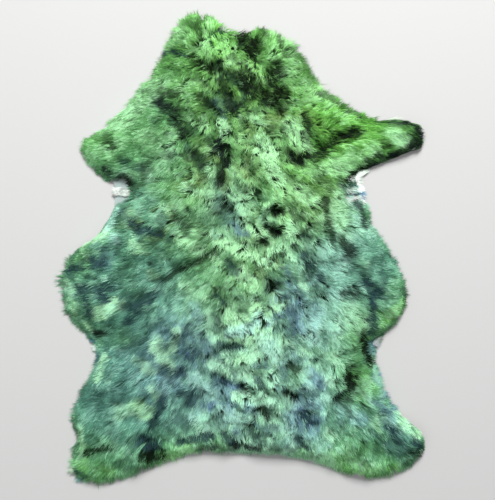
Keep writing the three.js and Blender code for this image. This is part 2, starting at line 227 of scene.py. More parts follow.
# Where each broad colour took, and how far it spread
BATHS = [
    # at, x, y, reach, dye, strength
    ("head", -20, 400, 130, "lime", 0.40),
    ("right shoulder", 190, 260, 120, "lime", 0.70),
    ("right shoulder edge", 150, 310, 60, "lime", 0.30),
    ("nape", -20, 290, 90, "olive", 0.25),
    ("withers", 60, 200, 90, "lime", 0.25),
    ("withers middle", 50, 190, 60, "mint", 0.40),
    ("saddle middle", 30, 30, 80, "mint", 0.40),
    ("saddle left", -90, 80, 80, "olive", 0.25),
    ("left shoulder", -200, 230, 100, "teal", 0.20),
    ("left ribs", -220, 60, 130, "teal", 0.55),
    ("left flank", -220, -100, 150, "teal", 0.65),
    ("left thigh", -240, -300, 150, "teal", 0.70),
    ("right ribs", 240, 40, 90, "teal", 0.40),
    ("right armpit", 236, 112, 30, "frost", 0.90),
    ("right ribs olive", 150, 90, 60, "olive", 0.40),
    ("right flank", 230, -40, 110, "teal", 0.60),
    ("lower back", 0, -190, 120, "mint", 0.60),
    ("rump", 40, -320, 140, "frost", 0.50),
    ("right loin", 150, -70, 90, "frost", 0.40),
    ("right loin grey", 110, -150, 70, "slate", 0.40),
    ("left rump", -120, -220, 90, "slate", 0.50),
    ("left rump teal", -130, -290, 100, "teal", 0.60),
    ("saddle grey", -30, 80, 50, "slate", 0.40),
    ("right thigh", 220, -320, 120, "teal", 0.60),
    ("right hind foot", 320, -370, 60, "teal", 0.60),
    ("rump edge", -140, -430, 50, "lime", 0.50),
    ("right buttock", 200, -440, 70, "lime", 0.50),
    ("right haunch", 235, -265, 45, "lime", 0.60),
    ("left hind foot", -300, -430, 50, "lime", 0.25),
    ("left foreleg", -260, 220, 90, "lime", 0.15),
]

# Light places, from one end to the other: partly pale dye and partly painted highlight on the lit tops of
# tufts
PALE_DYE_AND_HIGHLIGHTS = [
    # at, from x, y, to x, y, reach, dye, strength
    ("left ear", -54, 426, -34, 374, 26, "lime", 0.70),
    ("left ear outer", -146, 414, -122, 426, 16, "mint", 0.35),
    ("crown clump", 18, 366, 36, 344, 15, "lime", 0.90),
    ("left cheek", -188, 326, -160, 330, 13, "mint", 0.55),
    ("left shoulder edge", -188, 306, -240, 256, 21, "mint", 0.65),
    ("left foreleg edge", -258, 258, -290, 236, 13, "mint", 0.25),
    ("left shoulder", -186, 218, -166, 186, 22, "mint", 0.35),
    ("nape left", -80, 258, -76, 236, 9, "mint", 0.55),
    ("nape middle", -42, 244, -34, 226, 11, "mint", 0.90),
    ("right ear", 66, 426, 82, 378, 18, "lime", 0.25),
    ("right cheek", 86, 342, 146, 302, 20, "mint", 0.25),
    ("right shoulder", 182, 294, 214, 262, 20, "lime", 0.80),
    ("neck right", 94, 242, 114, 206, 20, "mint", 0.60),
    ("right foreleg", 298, 226, 324, 210, 16, "mint", 0.80),
    ("armpit band", 186, 162, 250, 194, 18, "mint", 0.50),
    ("armpit band inner", 138, 146, 186, 162, 14, "mint", 0.40),
    ("withers", 38, 216, 58, 186, 17, "mint", 0.95),
    ("withers low", 46, 182, 70, 138, 18, "mint", 0.75),
    ("shoulder blade", 118, 110, 146, 94, 16, "mint", 0.65),
    ("right ribs", 182, 94, 198, 26, 20, "mint", 0.65),
    ("right ribs edge", 230, 62, 256, 30, 17, "frost", 0.45),
    ("left ribs", -166, 118, -86, 90, 24, "lime", 0.30),
    ("left flap rim", -258, 72, -272, 46, 11, "frost", 0.75),
    ("left flap rim low", -278, 38, -318, 14, 12, "mint", 0.90),
    ("left flap", -286, -126, -240, -108, 14, "mint", 0.85),
    ("left flap foot", -318, -150, -304, -168, 7, "mint", 0.80),
    ("left flap fringe", -350, -70, -338, -126, 12, "mint", 0.40),
    ("saddle tuft", -14, 98, -2, 78, 13, "mint", 0.60),
    ("saddle left", -62, 26, -14, -2, 13, "mint", 0.65),
    ("saddle low", -14, -2, 50, -26, 12, "mint", 0.95),
    ("saddle right", 94, 46, 102, 16, 12, "mint", 0.95),
    ("saddle lime", 82, 70, 96, 54, 9, "lime", 0.90),
    ("loin left", -114, -74, -78, -98, 20, "mint", 0.45),
    ("loin", -6, -46, 18, -70, 14, "mint", 0.85),
    ("lower back", -30, -138, 38, -170, 22, "mint", 0.95),
    ("lower back low", -10, -218, 38, -206, 12, "mint", 0.90),
    ("rump top left", -60, -228, -34, -242, 12, "mint", 0.90),
    ("right flank", 158, 10, 190, -14, 20, "frost", 0.45),
    ("right flank middle", 122, -122, 178, -154, 26, "frost", 0.45),
    ("right flank low", 204, -126, 238, -148, 22, "mint", 0.50),
    ("right flap", 274, -146, 314, -114, 14, "lime", 0.60),
    ("left haunch", -166, -190, -146, -234, 18, "mint", 0.85),
    ("left thigh", -242, -322, -202, -302, 14, "mint", 0.55),
    ("rump left", -94, -338, -70, -362, 14, "mint", 0.55),
    ("rump left high", -90, -258, -62, -290, 16, "frost", 0.65),
    ("rump", -42, -318, -6, -342, 16, "frost", 0.60),
    ("lower back right frost", 38, -182, 70, -206, 18, "frost", 0.60),
    ("rump right", 128, -262, 156, -290, 18, "frost", 0.25),
    ("rump right low", 58, -342, 94, -366, 16, "frost", 0.40),
    ("left waist rim", -278, -214, -292, -262, 9, "mint", 0.70),
    ("left thigh rim", -326, -358, -318, -402, 9, "mint", 0.60),
    ("left foot", -322, -430, -266, -438, 16, "lime", 0.55),
    # Along the rump's rim the lime is partly painted light, shining through the thin tips
    ("rump rim left", -156, -414, -108, -404, 14, "lime", 0.85),
    ("rump rim", -10, -398, 114, -402, 10, "lime", 0.60),
    ("right haunch rim", 258, -230, 286, -286, 6, "slate", 0.60),
    ("right haunch", 246, -254, 246, -290, 10, "lime", 0.55),
    ("right buttock", 168, -412, 238, -438, 20, "lime", 0.70),
    ("right buttock low", 238, -444, 298, -434, 14, "lime", 0.50),
    ("right thigh spot", 258, -338, 270, -354, 11, "mint", 0.50),
    ("right foot", 318, -336, 344, -362, 17, "mint", 0.95),
    ("lower back high", 30, -120, 44, -150, 17, "mint", 1.00),
    ("lower back left", -34, -168, 0, -176, 14, "mint", 1.00),
    ("saddle right low", 84, 4, 92, -16, 11, "mint", 0.90),
    ("saddle middle low", 58, -2, 70, -6, 9, "mint", 0.70),
    ("saddle high", 14, 78, 20, 72, 10, "mint", 0.60),
    ("between the pits", 80, 50, 78, 40, 9, "lime", 0.80),
    ("rump middle", -12, -288, 28, -294, 12, "mint", 1.00),
    ("spine left pale", -64, 162, -60, 150, 10, "mint", 0.85),
    ("left of the saddle", -96, 8, -84, 0, 12, "mint", 0.70),
    ("right flank pale", 126, -160, 142, -186, 14, "frost", 0.80),
    ("loin right pale", 116, -70, 126, -76, 11, "mint", 0.80),
    ("loin low", -26, -104, -18, -112, 10, "mint", 0.60),
    ("nape right pale", -6, 262, 0, 256, 9, "mint", 0.50),
    ("left ribs low", -214, 6, -202, 0, 14, "mint", 0.70),
    ("flap inner", -254, 22, -248, 14, 11, "frost", 0.60),
    ("withers right", 84, 162, 92, 152, 11, "lime", 0.70),
    ("armpit band left", 116, 146, 128, 138, 11, "lime", 0.90),
    ("left ribs high", -112, 118, -100, 112, 13, "mint", 0.85),
    ("left ear high", -60, 440, -50, 430, 16, "lime", 0.95),
    ("cheek low", -164, 322, -156, 314, 10, "mint", 0.50),
    ("shoulder spot pale", -104, 258, -98, 248, 9, "mint", 0.50),
    ("left shoulder inner", -186, 224, -178, 212, 12, "mint", 0.50),
    ("right armpit upper", 216, 138, 246, 148, 4, "undyed", 0.75),
    ("right armpit middle", 212, 116, 248, 120, 5, "undyed", 0.60),
    ("right armpit lower", 210, 99, 248, 102, 5, "undyed", 0.60),
    ("rump light", 0, -252, 10, -262, 9, "mint", 0.70),
    ("rump light low", 38, -298, 48, -304, 9, "mint", 0.70),
    ("saddle light", 26, 38, 40, 28, 12, "mint", 0.95),
    ("lower back middle", -32, -160, 4, -170, 12, "mint", 0.90),
    ("left rump light", -176, -272, -168, -286, 11, "mint", 0.70),
    ("left rump light low", -212, -306, -188, -320, 14, "mint", 0.90),
    ("left flank light", -180, -48, -172, -56, 10, "mint", 0.60),
    ("left foreleg inner light", -232, 144, -222, 138, 9, "mint", 0.40),
    ("neck light", 26, 194, 36, 186, 10, "mint", 0.80),
    ("saddle left low", -58, -16, -48, -26, 10, "mint", 0.55),
    ("saddle left high", -90, 34, -76, 28, 10, "mint", 0.50),
    ("rump low left", -8, -328, 6, -334, 11, "mint", 0.60),
    ("rump low middle", 36, -290, 48, -296, 12, "mint", 0.90),
    ("lower back right", 70, -174, 86, -182, 11, "mint", 0.70),
    ("lower back far", 108, -196, 120, -202, 11, "mint", 0.60),
    ("lower back right high", 46, -122, 88, -108, 12, "mint", 0.90),
    ("left loin", -70, -130, -60, -138, 10, "mint", 0.60),
    ("left haunch high", -132, -160, -140, -196, 13, "mint", 0.90),
    ("lower back far left", -66, -164, -58, -174, 10, "mint", 0.65),
    ("right haunch inner", 176, -212, 186, -224, 12, "mint", 0.60),
    ("left loin high", -56, -76, -50, -84, 9, "mint", 0.50),
    ("spine middle", -26, 158, -20, 148, 10, "mint", 0.60),
    ("left flap top", -316, -6, -308, -14, 10, "mint", 0.50),
    ("lower back frost", 30, -134, 44, -146, 13, "frost", 1.00),
    ("lower back pale", -26, -164, 16, -156, 12, "frost", 0.95),
    ("left haunch far", -194, -230, -182, -240, 12, "mint", 0.65),
    ("saddle far left", -72, 112, -60, 100, 11, "mint", 0.65),
    ("saddle left end", -126, 28, -114, 18, 11, "mint", 0.65),
    ("rump right edge", 166, -360, 178, -368, 11, "mint", 0.65),
    ("left haunch low", -212, -216, -198, -226, 11, "mint", 0.50),
    ("rump top left high", -36, -212, -26, -218, 9, "mint", 0.70),
    ("saddle far right", 126, 46, 136, 38, 9, "mint", 0.50),
    ("right hock", 270, -332, 282, -338, 10, "mint", 0.50),
    ("right ribs low", 230, -26, 242, -34, 10, "mint", 0.45),
    ("right loin low pale", 112, -170, 120, -178, 10, "mint", 0.70),
    ("left ribs pale", -228, 74, -218, 66, 11, "mint", 0.60),
    ("saddle middle pale", 2, 64, 8, 56, 10, "mint", 0.50),
    ("nape right light", 20, 254, 32, 244, 11, "mint", 0.70),
    ("rump top right", 56, -246, 66, -254, 10, "frost", 0.70),
    ("haunch inner light", 172, -262, 180, -270, 11, "mint", 0.80),
]

# Dark places and deep-coloured ones, from one end to the other: dark dye, and painted shade in pits,
# creases, folds and dim places, most of it in the near-black pitch. sink is the share of the wool's height
# that is parted there, and 0 where the dye alone changes.
PARTINGS = [
    # at, from x, y, to x, y, reach, dye, strength, sink
    ("left ear", -94, 446, -84, 418, 9, "pitch", 0.60, 0.10),
    ("right loin blue", 104, -110, 108, -160, 22, "haze", 0.90, 0.00),
    ("left rump blue", -92, -112, -100, -272, 16, "slate", 0.50, 0.05),
    ("right buttock blue", 120, -324, 140, -342, 21, "slate", 0.80, 0.05),
    ("rump arc", -48, -256, -6, -272, 9, "slate", 0.85, 0.15),
    ("right waist blue", 260, -184, 272, -192, 9, "slate", 1.00, 0.00),
    ("right waist blue low", 276, -230, 286, -262, 8, "slate", 0.80, 0.00),
    ("right hock blue", 298, -290, 316, -318, 9, "slate", 0.80, 0.05),
    ("left haunch blue", -118, -200, -104, -214, 15, "slate", 0.80, 0.05),
    ("left waist blue", -306, -208, -300, -224, 8, "slate", 0.60, 0.00),
    ("saddle blue", -22, 48, 2, 34, 12, "slate", 0.75, 0.05),
    ("loin blue", 84, -40, 96, -76, 12, "slate", 0.60, 0.05),
    ("nape blue", -58, 286, -40, 262, 12, "slate", 0.50, 0.05),
    ("left ear line", -156, 396, -114, 384, 7, "navy", 0.85, 0.20),
    ("forehead", -106, 378, -62, 354, 11, "pitch", 0.90, 0.25),
    ("forehead low", -62, 362, -6, 342, 13, "soot", 0.65, 0.20),
    ("crown pit", 4, 428, 20, 390, 20, "pitch", 1.00, 0.50),
    ("crown right", 60, 366, 76, 346, 13, "pitch", 0.95, 0.30),
    ("crown low", 2, 350, 18, 306, 19, "pitch", 0.97, 0.30),
    ("nape right", 26, 322, 54, 290, 17, "pitch", 0.90, 0.25),
    ("neck right", 42, 302, 78, 274, 17, "pitch", 0.85, 0.25),
    ("cheek row", -198, 316, -122, 306, 9, "pitch", 0.65, 0.15),
    ("cheek spot", -170, 292, -134, 274, 14, "soot", 0.90, 0.25),
    ("left shoulder spot", -138, 262, -120, 226, 13, "soot", 0.85, 0.20),
    ("left shoulder spot low", -94, 186, -80, 164, 12, "soot", 0.70, 0.15),
    ("nape left", -42, 338, -22, 274, 17, "soot", 0.70, 0.20),
    ("nape spot", -86, 298, -62, 284, 10, "pitch", 0.60, 0.15),
    ("spine left", -48, 208, -32, 174, 17, "soot", 1.00, 0.25),
    ("spine left low", -46, 166, -44, 126, 9, "soot", 0.80, 0.20),
    ("neck middle", -6, 256, 2, 234, 8, "pitch", 0.30, 0.15),
    ("shoulder fold", 124, 266, 132, 226, 8, "pitch", 0.80, 0.25),
    ("shoulder bar", 190, 222, 230, 232, 14, "pitch", 1.00, 0.35),
    ("shoulder band", 112, 182, 164, 188, 11, "pitch", 0.90, 0.25),
    ("shoulder pit", 92, 188, 112, 172, 11, "soot", 0.97, 0.30),
    ("neck crease", 76, 238, 86, 218, 7, "pitch", 0.45, 0.15),
    ("foreleg tip", 324, 258, 344, 246, 9, "soot", 1.00, 0.05),
    ("foreleg tip edge", 346, 244, 354, 228, 14, "soot", 1.00, 0.05),
    ("foreleg tip end", 354, 230, 346, 200, 20, "soot", 1.00, 0.05),
    ("foreleg lower", 246, 158, 340, 196, 14, "soot", 1.00, 0.05),
    ("foreleg spot", 282, 200, 290, 204, 6, "pitch", 0.75, 0.10),
    ("foreleg root", 206, 134, 246, 162, 11, "pitch", 0.95, 0.10),
    ("left foreleg spot", -272, 206, -258, 204, 12, "pitch", 0.75, 0.10),
    ("left foreleg ring", -276, 224, -252, 208, 13, "pitch", 0.45, 0.05),
    ("left foreleg lower", -278, 156, -232, 140, 11, "soot", 0.85, 0.15),
    ("left foreleg inner", -238, 170, -202, 158, 11, "navy", 0.55, 0.15),
    ("left armpit", -262, 140, -222, 130, 8, "pitch", 0.97, 0.20),
    ("left ribs spot", -224, 54, -202, 38, 11, "navy", 0.80, 0.20),
    ("left ribs spot low", -192, 40, -162, 28, 11, "navy", 0.75, 0.20),
    ("left ribs row", -134, 62, -106, 46, 11, "pitch", 0.60, 0.15),
    ("left ribs high", -246, 98, -234, 66, 9, "navy", 0.50, 0.10),
    ("withers pit", -36, 90, -26, 78, 10, "pitch", 0.90, 0.35),
    ("withers spot", 8, 182, 4, 146, 10, "olive", 0.85, 0.15),
    ("saddle pit", 58, 74, 74, 72, 10, "pitch", 1.00, 0.50),
    ("saddle pit low", 58, 38, 70, 31, 9, "pitch", 1.00, 0.50),
    ("saddle crease", 40, 12, 46, 8, 6, "pitch", 0.85, 0.40),
    ("saddle arc", 50, -28, 80, -12, 5, "pitch", 0.80, 0.30),
    ("saddle grey", -6, 38, 6, 30, 11, "navy", 0.35, 0.15),
    ("saddle right", 118, 26, 132, 20, 9, "navy", 0.65, 0.15),
    ("right ribs fold", 160, 94, 176, 14, 9, "pitch", 0.70, 0.20),
    ("right ribs arc", 192, 20, 218, -8, 11, "soot", 0.80, 0.20),
    ("right ribs row", 150, 138, 174, 118, 9, "pitch", 0.35, 0.10),
    ("loin pit", 50, -82, 68, -74, 10, "pitch", 0.92, 0.40),
    ("loin pit left", -50, -94, -36, -106, 10, "navy", 0.80, 0.25),
    ("loin spot", -30, -24, -14, -44, 11, "navy", 0.70, 0.20),
    ("loin spot low", -56, -136, -46, -154, 11, "navy", 0.60, 0.20),
    ("loin right", 122, -16, 150, -56, 13, "navy", 0.75, 0.20),
    ("loin right low", 84, -104, 104, -142, 12, "navy", 0.40, 0.15),
    ("right flank", 240, -64, 268, -88, 16, "navy", 0.85, 0.20),
    ("right flank low", 258, -94, 256, -164, 11, "navy", 0.85, 0.20),
    ("right flap edge high", 304, -12, 326, -44, 9, "navy", 0.90, 0.00),
    ("right flap edge", 334, -48, 338, -138, 6, "navy", 0.75, 0.00),
    ("right flap inner", 274, -26, 286, -102, 10, "navy", 0.45, 0.10),
    ("right waist", 238, -170, 256, -226, 12, "pitch", 0.95, 0.20),
    ("left flap line", -354, -42, -322, -38, 9, "navy", 0.75, 0.05),
    ("left flap", -330, -82, -262, -78, 13, "navy", 0.75, 0.15),
    ("left flap high", -304, -18, -276, -34, 13, "navy", 0.75, 0.15),
    ("left flap low", -310, -98, -302, -126, 13, "navy", 0.90, 0.10),
    ("left waist", -300, -168, -274, -170, 8, "soot", 0.85, 0.15),
    ("left waist inner", -228, -142, -206, -124, 13, "navy", 0.80, 0.20),
    ("left flank streak high", -102, -30, -54, -6, 8, "pitch", 0.80, 0.30),
    ("left flank streak", -172, -68, -106, -34, 7, "pitch", 0.75, 0.25),
    ("left flank streak low", -230, -118, -174, -90, 13, "navy", 0.75, 0.20),
    ("left flap mottle", -274, -2, -238, 18, 12, "navy", 0.45, 0.10),
    ("left rump grey", -128, -186, -100, -150, 13, "navy", 0.55, 0.15),
    ("left rump", -156, -238, -128, -248, 14, "navy", 0.80, 0.20),
    ("left rump low", -106, -306, -90, -282, 13, "navy", 0.75, 0.20),
    ("left rump streak", -164, -320, -180, -350, 9, "navy", 0.80, 0.20),
    ("left buttock dark", -196, -380, -174, -394, 18, "navy", 0.97, 0.25),
    ("left buttock rim", -192, -412, -164, -408, 15, "pitch", 1.00, 0.15),
    ("left thigh", -290, -294, -238, -274, 14, "navy", 0.40, 0.10),
    ("left foot line", -310, -404, -262, -388, 9, "pitch", 0.95, 0.20),
    ("left foot rim", -346, -446, -318, -450, 8, "navy", 0.60, 0.00),
    ("left haunch", -246, -206, -206, -182, 11, "navy", 0.40, 0.10),
    ("lower back spot", -34, -196, -6, -194, 8, "navy", 0.85, 0.30),
    ("rump top left", -58, -250, -34, -262, 10, "navy", 0.75, 0.25),
    ("rump top spot", -4, -274, 12, -280, 10, "pitch", 0.97, 0.40),
    ("rump top right", 26, -250, 38, -270, 10, "navy", 0.80, 0.30),
    ("rump spot", 38, -316, 50, -330, 10, "pitch", 0.90, 0.35),
    ("rump right spot", 94, -232, 112, -242, 10, "pitch", 0.70, 0.25),
    ("rump right hole", 88, -284, 102, -296, 10, "pitch", 0.90, 0.35),
    ("rump right patch", 122, -330, 138, -342, 13, "navy", 0.80, 0.20),
    ("rump rim spot", 106, -374, 122, -394, 11, "navy", 0.75, 0.20),
    ("rump rim left", -34, -366, -18, -394, 12, "navy", 0.75, 0.15),
    ("rump rim middle", 6, -358, 42, -382, 11, "navy", 0.60, 0.15),
    ("rump left spot", -134, -326, -106, -350, 10, "navy", 0.50, 0.15),
    ("haunch pit", 218, -242, 210, -268, 14, "pitch", 1.00, 0.40),
    ("haunch pit low", 190, -300, 208, -290, 14, "pitch", 1.00, 0.40),
    ("foot crease", 288, -350, 306, -384, 10, "navy", 0.85, 0.20),
    ("foot tip", 332, -400, 360, -412, 12, "soot", 1.00, 0.10),
    ("under the loin", 14, -94, 26, -102, 9, "olive", 0.70, 0.20),
    ("loin olive", 30, -42, 54, -70, 13, "olive", 0.75, 0.15),
    ("shoulder band right", 160, 196, 192, 220, 11, "pitch", 0.90, 0.25),
    ("crown fork", 58, 342, 92, 290, 13, "pitch", 0.97, 0.30),
    ("right ear rim", 104, 398, 134, 334, 15, "soot", 0.35, 0.00),
    ("right shoulder rim", 158, 310, 236, 266, 10, "soot", 0.60, 0.00),
    ("foreleg lower inner", 250, 172, 276, 186, 8, "soot", 0.85, 0.10),
    ("right ribs rim", 226, 96, 246, 50, 12, "soot", 0.80, 0.05),
    ("right flank crease", 196, -92, 220, -90, 11, "pitch", 0.70, 0.20),
    ("saddle dim right", 96, 76, 108, 60, 10, "pitch", 0.55, 0.15),
    ("rump rim low", -16, -390, 28, -394, 10, "soot", 0.95, 0.10),
    ("rump rim band", -20, -374, 52, -366, 9, "navy", 0.50, 0.10),
    ("rump rim left band", -126, -380, -66, -370, 11, "navy", 0.80, 0.10),
    ("rump rim right band", 90, -392, 108, -396, 9, "soot", 0.55, 0.05),
    ("rump left dim", -36, -306, -28, -320, 10, "slate", 0.80, 0.10),
    ("rump right blue", 134, -244, 152, -266, 14, "slate", 0.75, 0.05),
    ("crown pit right", 26, 418, 30, 380, 14, "pitch", 1.00, 0.40),
    ("left ear rim", -122, 448, -70, 464, 12, "soot", 0.35, 0.00),
    ("cheek dim", -92, 334, -76, 322, 10, "pitch", 0.50, 0.10),
    ("right armpit dark upper", 204, 124, 244, 134, 4, "navy", 1.00, 0.10),
    ("right armpit dark lower", 204, 108, 240, 110, 4, "navy", 0.90, 0.10),
    ("foot tip high", 334, -376, 356, -390, 10, "navy", 0.80, 0.05),
    ("right haunch dim", 228, -276, 238, -290, 12, "pitch", 0.35, 0.10),
    ("right buttock dim", 206, -394, 246, -430, 14, "soot", 0.35, 0.05),
    ("left flap low right", -280, -90, -268, -102, 11, "navy", 0.90, 0.10),
    ("neck left dim", -6, 124, 2, 112, 10, "pitch", 0.40, 0.10),
    ("right ribs dim", 192, -6, 202, -20, 11, "soot", 0.50, 0.10),
    ("rump rim far", 56, -392, 72, -398, 9, "soot", 0.55, 0.05),
    ("foreleg top", 270, 256, 330, 248, 10, "soot", 0.85, 0.00),
    ("neck right dim", 122, 224, 132, 206, 11, "pitch", 0.50, 0.15),
    ("right flap low", 288, -126, 300, -138, 10, "pitch", 0.50, 0.05),
    ("left shoulder dim", -192, 162, -180, 150, 12, "soot", 0.45, 0.10),
    ("left flap inner", -280, -14, -268, -30, 10, "navy", 0.70, 0.10),
    ("rump rim band right", 46, -348, 68, -356, 9, "navy", 0.55, 0.10),
    ("left ear dim", -106, 402, -94, 394, 10, "soot", 0.40, 0.10),
    ("right ear top line", 38, 440, 44, 430, 9, "pitch", 0.60, 0.10),
    ("right ear dim", 72, 424, 88, 382, 10, "pitch", 0.60, 0.10),
    ("haunch low dim", 204, -314, 208, -328, 11, "pitch", 0.50, 0.10),
    ("left flap edge dim", -360, -68, -350, -78, 8, "soot", 0.40, 0.00),
    ("left shoulder spot dim", -138, 224, -146, 220, 10, "soot", 0.40, 0.10),
    ("rump rim blue", -14, -356, -12, -364, 9, "slate", 0.70, 0.10),
    ("saddle left blue", -58, 32, -50, 24, 10, "slate", 0.55, 0.10),
    ("right armpit fold", 194, 134, 204, 118, 11, "pitch", 0.50, 0.15),
    ("crown middle", 48, 344, 58, 328, 11, "pitch", 0.95, 0.30),
    ("withers dim", 6, 170, 10, 162, 10, "pitch", 0.45, 0.15),
    ("left rump streak high", -156, -294, -162, -310, 11, "navy", 0.75, 0.15),
    ("rump left blue", -56, -302, -64, -314, 10, "slate", 0.80, 0.10),
    ("rump rim left dark", -86, -398, -56, -392, 10, "soot", 0.65, 0.10),
    ("left foot rim dim", -336, -404, -326, -416, 9, "soot", 0.40, 0.00),
    ("right ribs top", 210, 106, 222, 92, 10, "navy", 0.35, 0.05),
    ("crown left dim", -20, 376, -12, 366, 10, "pitch", 0.35, 0.10),
    ("nape black", 8, 330, 62, 292, 16, "pitch", 1.00, 0.30),
    ("left buttock dim", -254, -360, -242, -362, 11, "navy", 0.45, 0.10),
    ("left armpit fold", -194, 140, -184, 134, 11, "soot", 0.45, 0.10),
    ("spine dim low", -8, 116, -2, 108, 10, "pitch", 0.40, 0.10),
    ("withers right dim", 90, 136, 96, 128, 10, "pitch", 0.35, 0.05),
    ("haunch rim dim", 262, -254, 268, -266, 9, "slate", 0.60, 0.00),
    ("left rump dim", -154, -258, -146, -266, 11, "navy", 0.50, 0.10),
    ("left shoulder low dim", -154, 190, -146, 180, 11, "pitch", 0.35, 0.05),
    ("haunch pit wide", 218, -244, 212, -264, 19, "pitch", 0.95, 0.00),
    ("haunch pit low wide", 194, -298, 206, -290, 17, "pitch", 0.95, 0.00),
]

# How each dye is flecked: the flecks' pitch in millimetres, their layer of noise and their most strength
FLECKS = {
    "navy": (18, 10, 0.65),
    "haze": (30, 41, 1.0),
    "slate": (26, 21, 0.8),
    "olive": (26, 31, 1.0),
}

# Where the wool is flecked with a dye, outside the light places
MOTTLES = [
    # at, x, y, reach, dye, strength
    ("cheek", -156, 288, 60, "navy", 0.70),
    ("nape", -16, 308, 70, "navy", 0.90),
    ("shoulder left", -96, 198, 70, "navy", 0.70),
    ("neck right", 94, 278, 60, "navy", 0.50),
    ("left ribs", -196, 48, 80, "navy", 0.60),
    ("withers left", -46, 118, 60, "navy", 0.60),
    ("saddle left", -36, -2, 60, "navy", 0.50),
    ("saddle right", 114, 8, 50, "navy", 0.50),
    ("left flap", -306, -62, 70, "navy", 0.90),
    ("left flank", -186, -92, 80, "navy", 0.70),
    ("loin left", -56, -122, 60, "navy", 0.70),
    ("loin right", 94, -102, 60, "navy", 0.60),
    ("right flap", 258, -62, 60, "navy", 0.80),
    ("left rump", -136, -252, 90, "navy", 1.00),
    ("left thigh", -266, -282, 80, "navy", 0.55),
    ("rump", 14, -302, 110, "navy", 0.60),
    ("rump right", 124, -302, 70, "navy", 0.60),
    ("right foot", 304, -372, 50, "navy", 0.60),
    ("left foot", -296, -422, 50, "navy", 0.50),
    ("rump rim", -186, -392, 60, "navy", 0.80),
    ("right ribs", 214, 8, 50, "navy", 0.40),
    ("rump blue", 4, -290, 110, "haze", 0.90),
    ("rump right blue", 120, -320, 80, "haze", 0.90),
    ("right loin blue", 100, -140, 80, "haze", 0.90),
    ("left rump blue", -110, -220, 80, "haze", 0.90),
    ("left rim blue", -100, -300, 60, "haze", 0.80),
    ("saddle blue", -10, 60, 60, "slate", 0.70),
    ("right thigh blue", 270, -330, 70, "haze", 0.80),
    ("right waist blue", 262, -200, 30, "slate", 0.80),
    ("left waist blue", -300, -200, 30, "slate", 0.60),
    ("left flap blue", -300, -40, 60, "slate", 0.60),
    ("neck olive", 60, 240, 90, "olive", 0.80),
    ("withers olive", -60, 130, 90, "olive", 0.80),
    ("saddle olive", 60, 0, 70, "olive", 0.80),
    ("left ribs olive", -170, 60, 90, "olive", 0.60),
]

# Where the wool stops short of the skin's cut edge or hangs past it, against the model
HEMS = [
    # at, from x, y, to x, y, reach, hang
    ("left armpit tab", -258, 122, -250, 106, 14, -34),
    ("right armpit", 244, 146, 240, 102, 14, -6),
    ("left foot wisps", -358, -442, -342, -458, 12, 26),
    ("left foot under", -326, -462, -286, -474, 14, 19),
    ("foreleg corner", 254, 264, 292, 260, 8, 3),
    ("left foot notch", -334, -372, -332, -392, 11, 2),
    ("foreleg tip", 352, 248, 352, 206, 10, 13),
]

# How loose the wool is at the rim: 1 as elsewhere, 0 where it lies neat
FRINGES = [
    # at, from x, y, to x, y, reach, looseness
    ("left flap rim", -262, 74, -334, 4, 18, 0.1),
    ("foreleg lower", 232, 140, 352, 204, 16, 0.2),
    ("foreleg upper", 270, 262, 340, 262, 12, 0.4),
    ("right hind foot", 322, -336, 362, -392, 16, 0.2),
    ("left hind foot", -362, -432, -290, -478, 26, 2.4),
    ("left thigh", -350, -300, -338, -400, 20, 1.3),
    ("left flap", -362, -20, -352, -120, 24, 1.8),
    ("right flap", 340, -20, 336, -120, 20, 1.5),
    ("left shoulder", -150, 330, -340, 210, 20, 1.3),
    ("right ear", 80, 450, 140, 340, 24, 1.6),
    ("rump edge", -160, -420, 300, -470, 20, 1.2),
]

# Loose wool of its own: frayed ends, wisps and thin nap on bare skin
TUFTS = [
    # at, x, y, reach, heading, lean, length, locks, spread, dye, strength
    ("left armpit nap", -246, 117, 8, 188, 0.98, 14, 6, 4, "undyed", 0.95),
    ("left armpit nap inner", -230, 116, 8, 190, 0.95, 16, 7, 4, "undyed", 0.80),
    ("right armpit fray top", 214, 136, 2, 34, 0.90, 38, 4, 2, "undyed", 0.95),
    ("right armpit fray", 226, 118, 3, 6, 0.90, 24, 4, 2, "undyed", 0.80),
    ("right armpit fray dark", 226, 110, 3, 0, 0.90, 22, 4, 2, "slate", 0.90),
    ("right armpit fray low", 226, 100, 3, 352, 0.90, 24, 4, 2, "undyed", 0.80),
    ("foreleg cut line", 322, 191, 2, 27, 0.95, 40, 2, 1, "undyed", 0.85),
    ("foreleg cut line root", 224, 142, 2, 30, 0.95, 34, 2, 1, "undyed", 0.70),
    ("foreleg cut line upper", 276, 262, 2, 2, 0.95, 44, 2, 1, "undyed", 0.60),
    ("left waist fray", -298, -188, 7, 165, 0.85, 16, 5, 3, "slate", 0.60),
    ("left waist fray low", -296, -200, 7, 190, 0.85, 16, 4, 3, "undyed", 0.60),
    ("right waist fray", 262, -182, 8, 350, 0.90, 20, 6, 3, "undyed", 0.60),
    ("left foot wisp", -340, -446, 8, 208, 0.95, 46, 6, 3, "undyed", 0.50),
    ("left foot wisp low", -324, -458, 8, 228, 0.95, 44, 6, 3, "slate", 0.70),
    ("left foot wisp under", -306, -466, 8, 240, 0.95, 36, 5, 3, "frost", 0.60),
]

# Pieces that the wool is divided into, from the head to the tail, by where each ends
PIECES = [
    ("wool_head", 262),
    ("wool_shoulders", 140),
    ("wool_ribs", 10),
    ("wool_flanks", -115),
    ("wool_thighs", -250),
    ("wool_haunches", -362),
    ("wool_rump", -600),
]

# The skin
SKIN_ROUND = 0.5 * MM  # of its cut edge

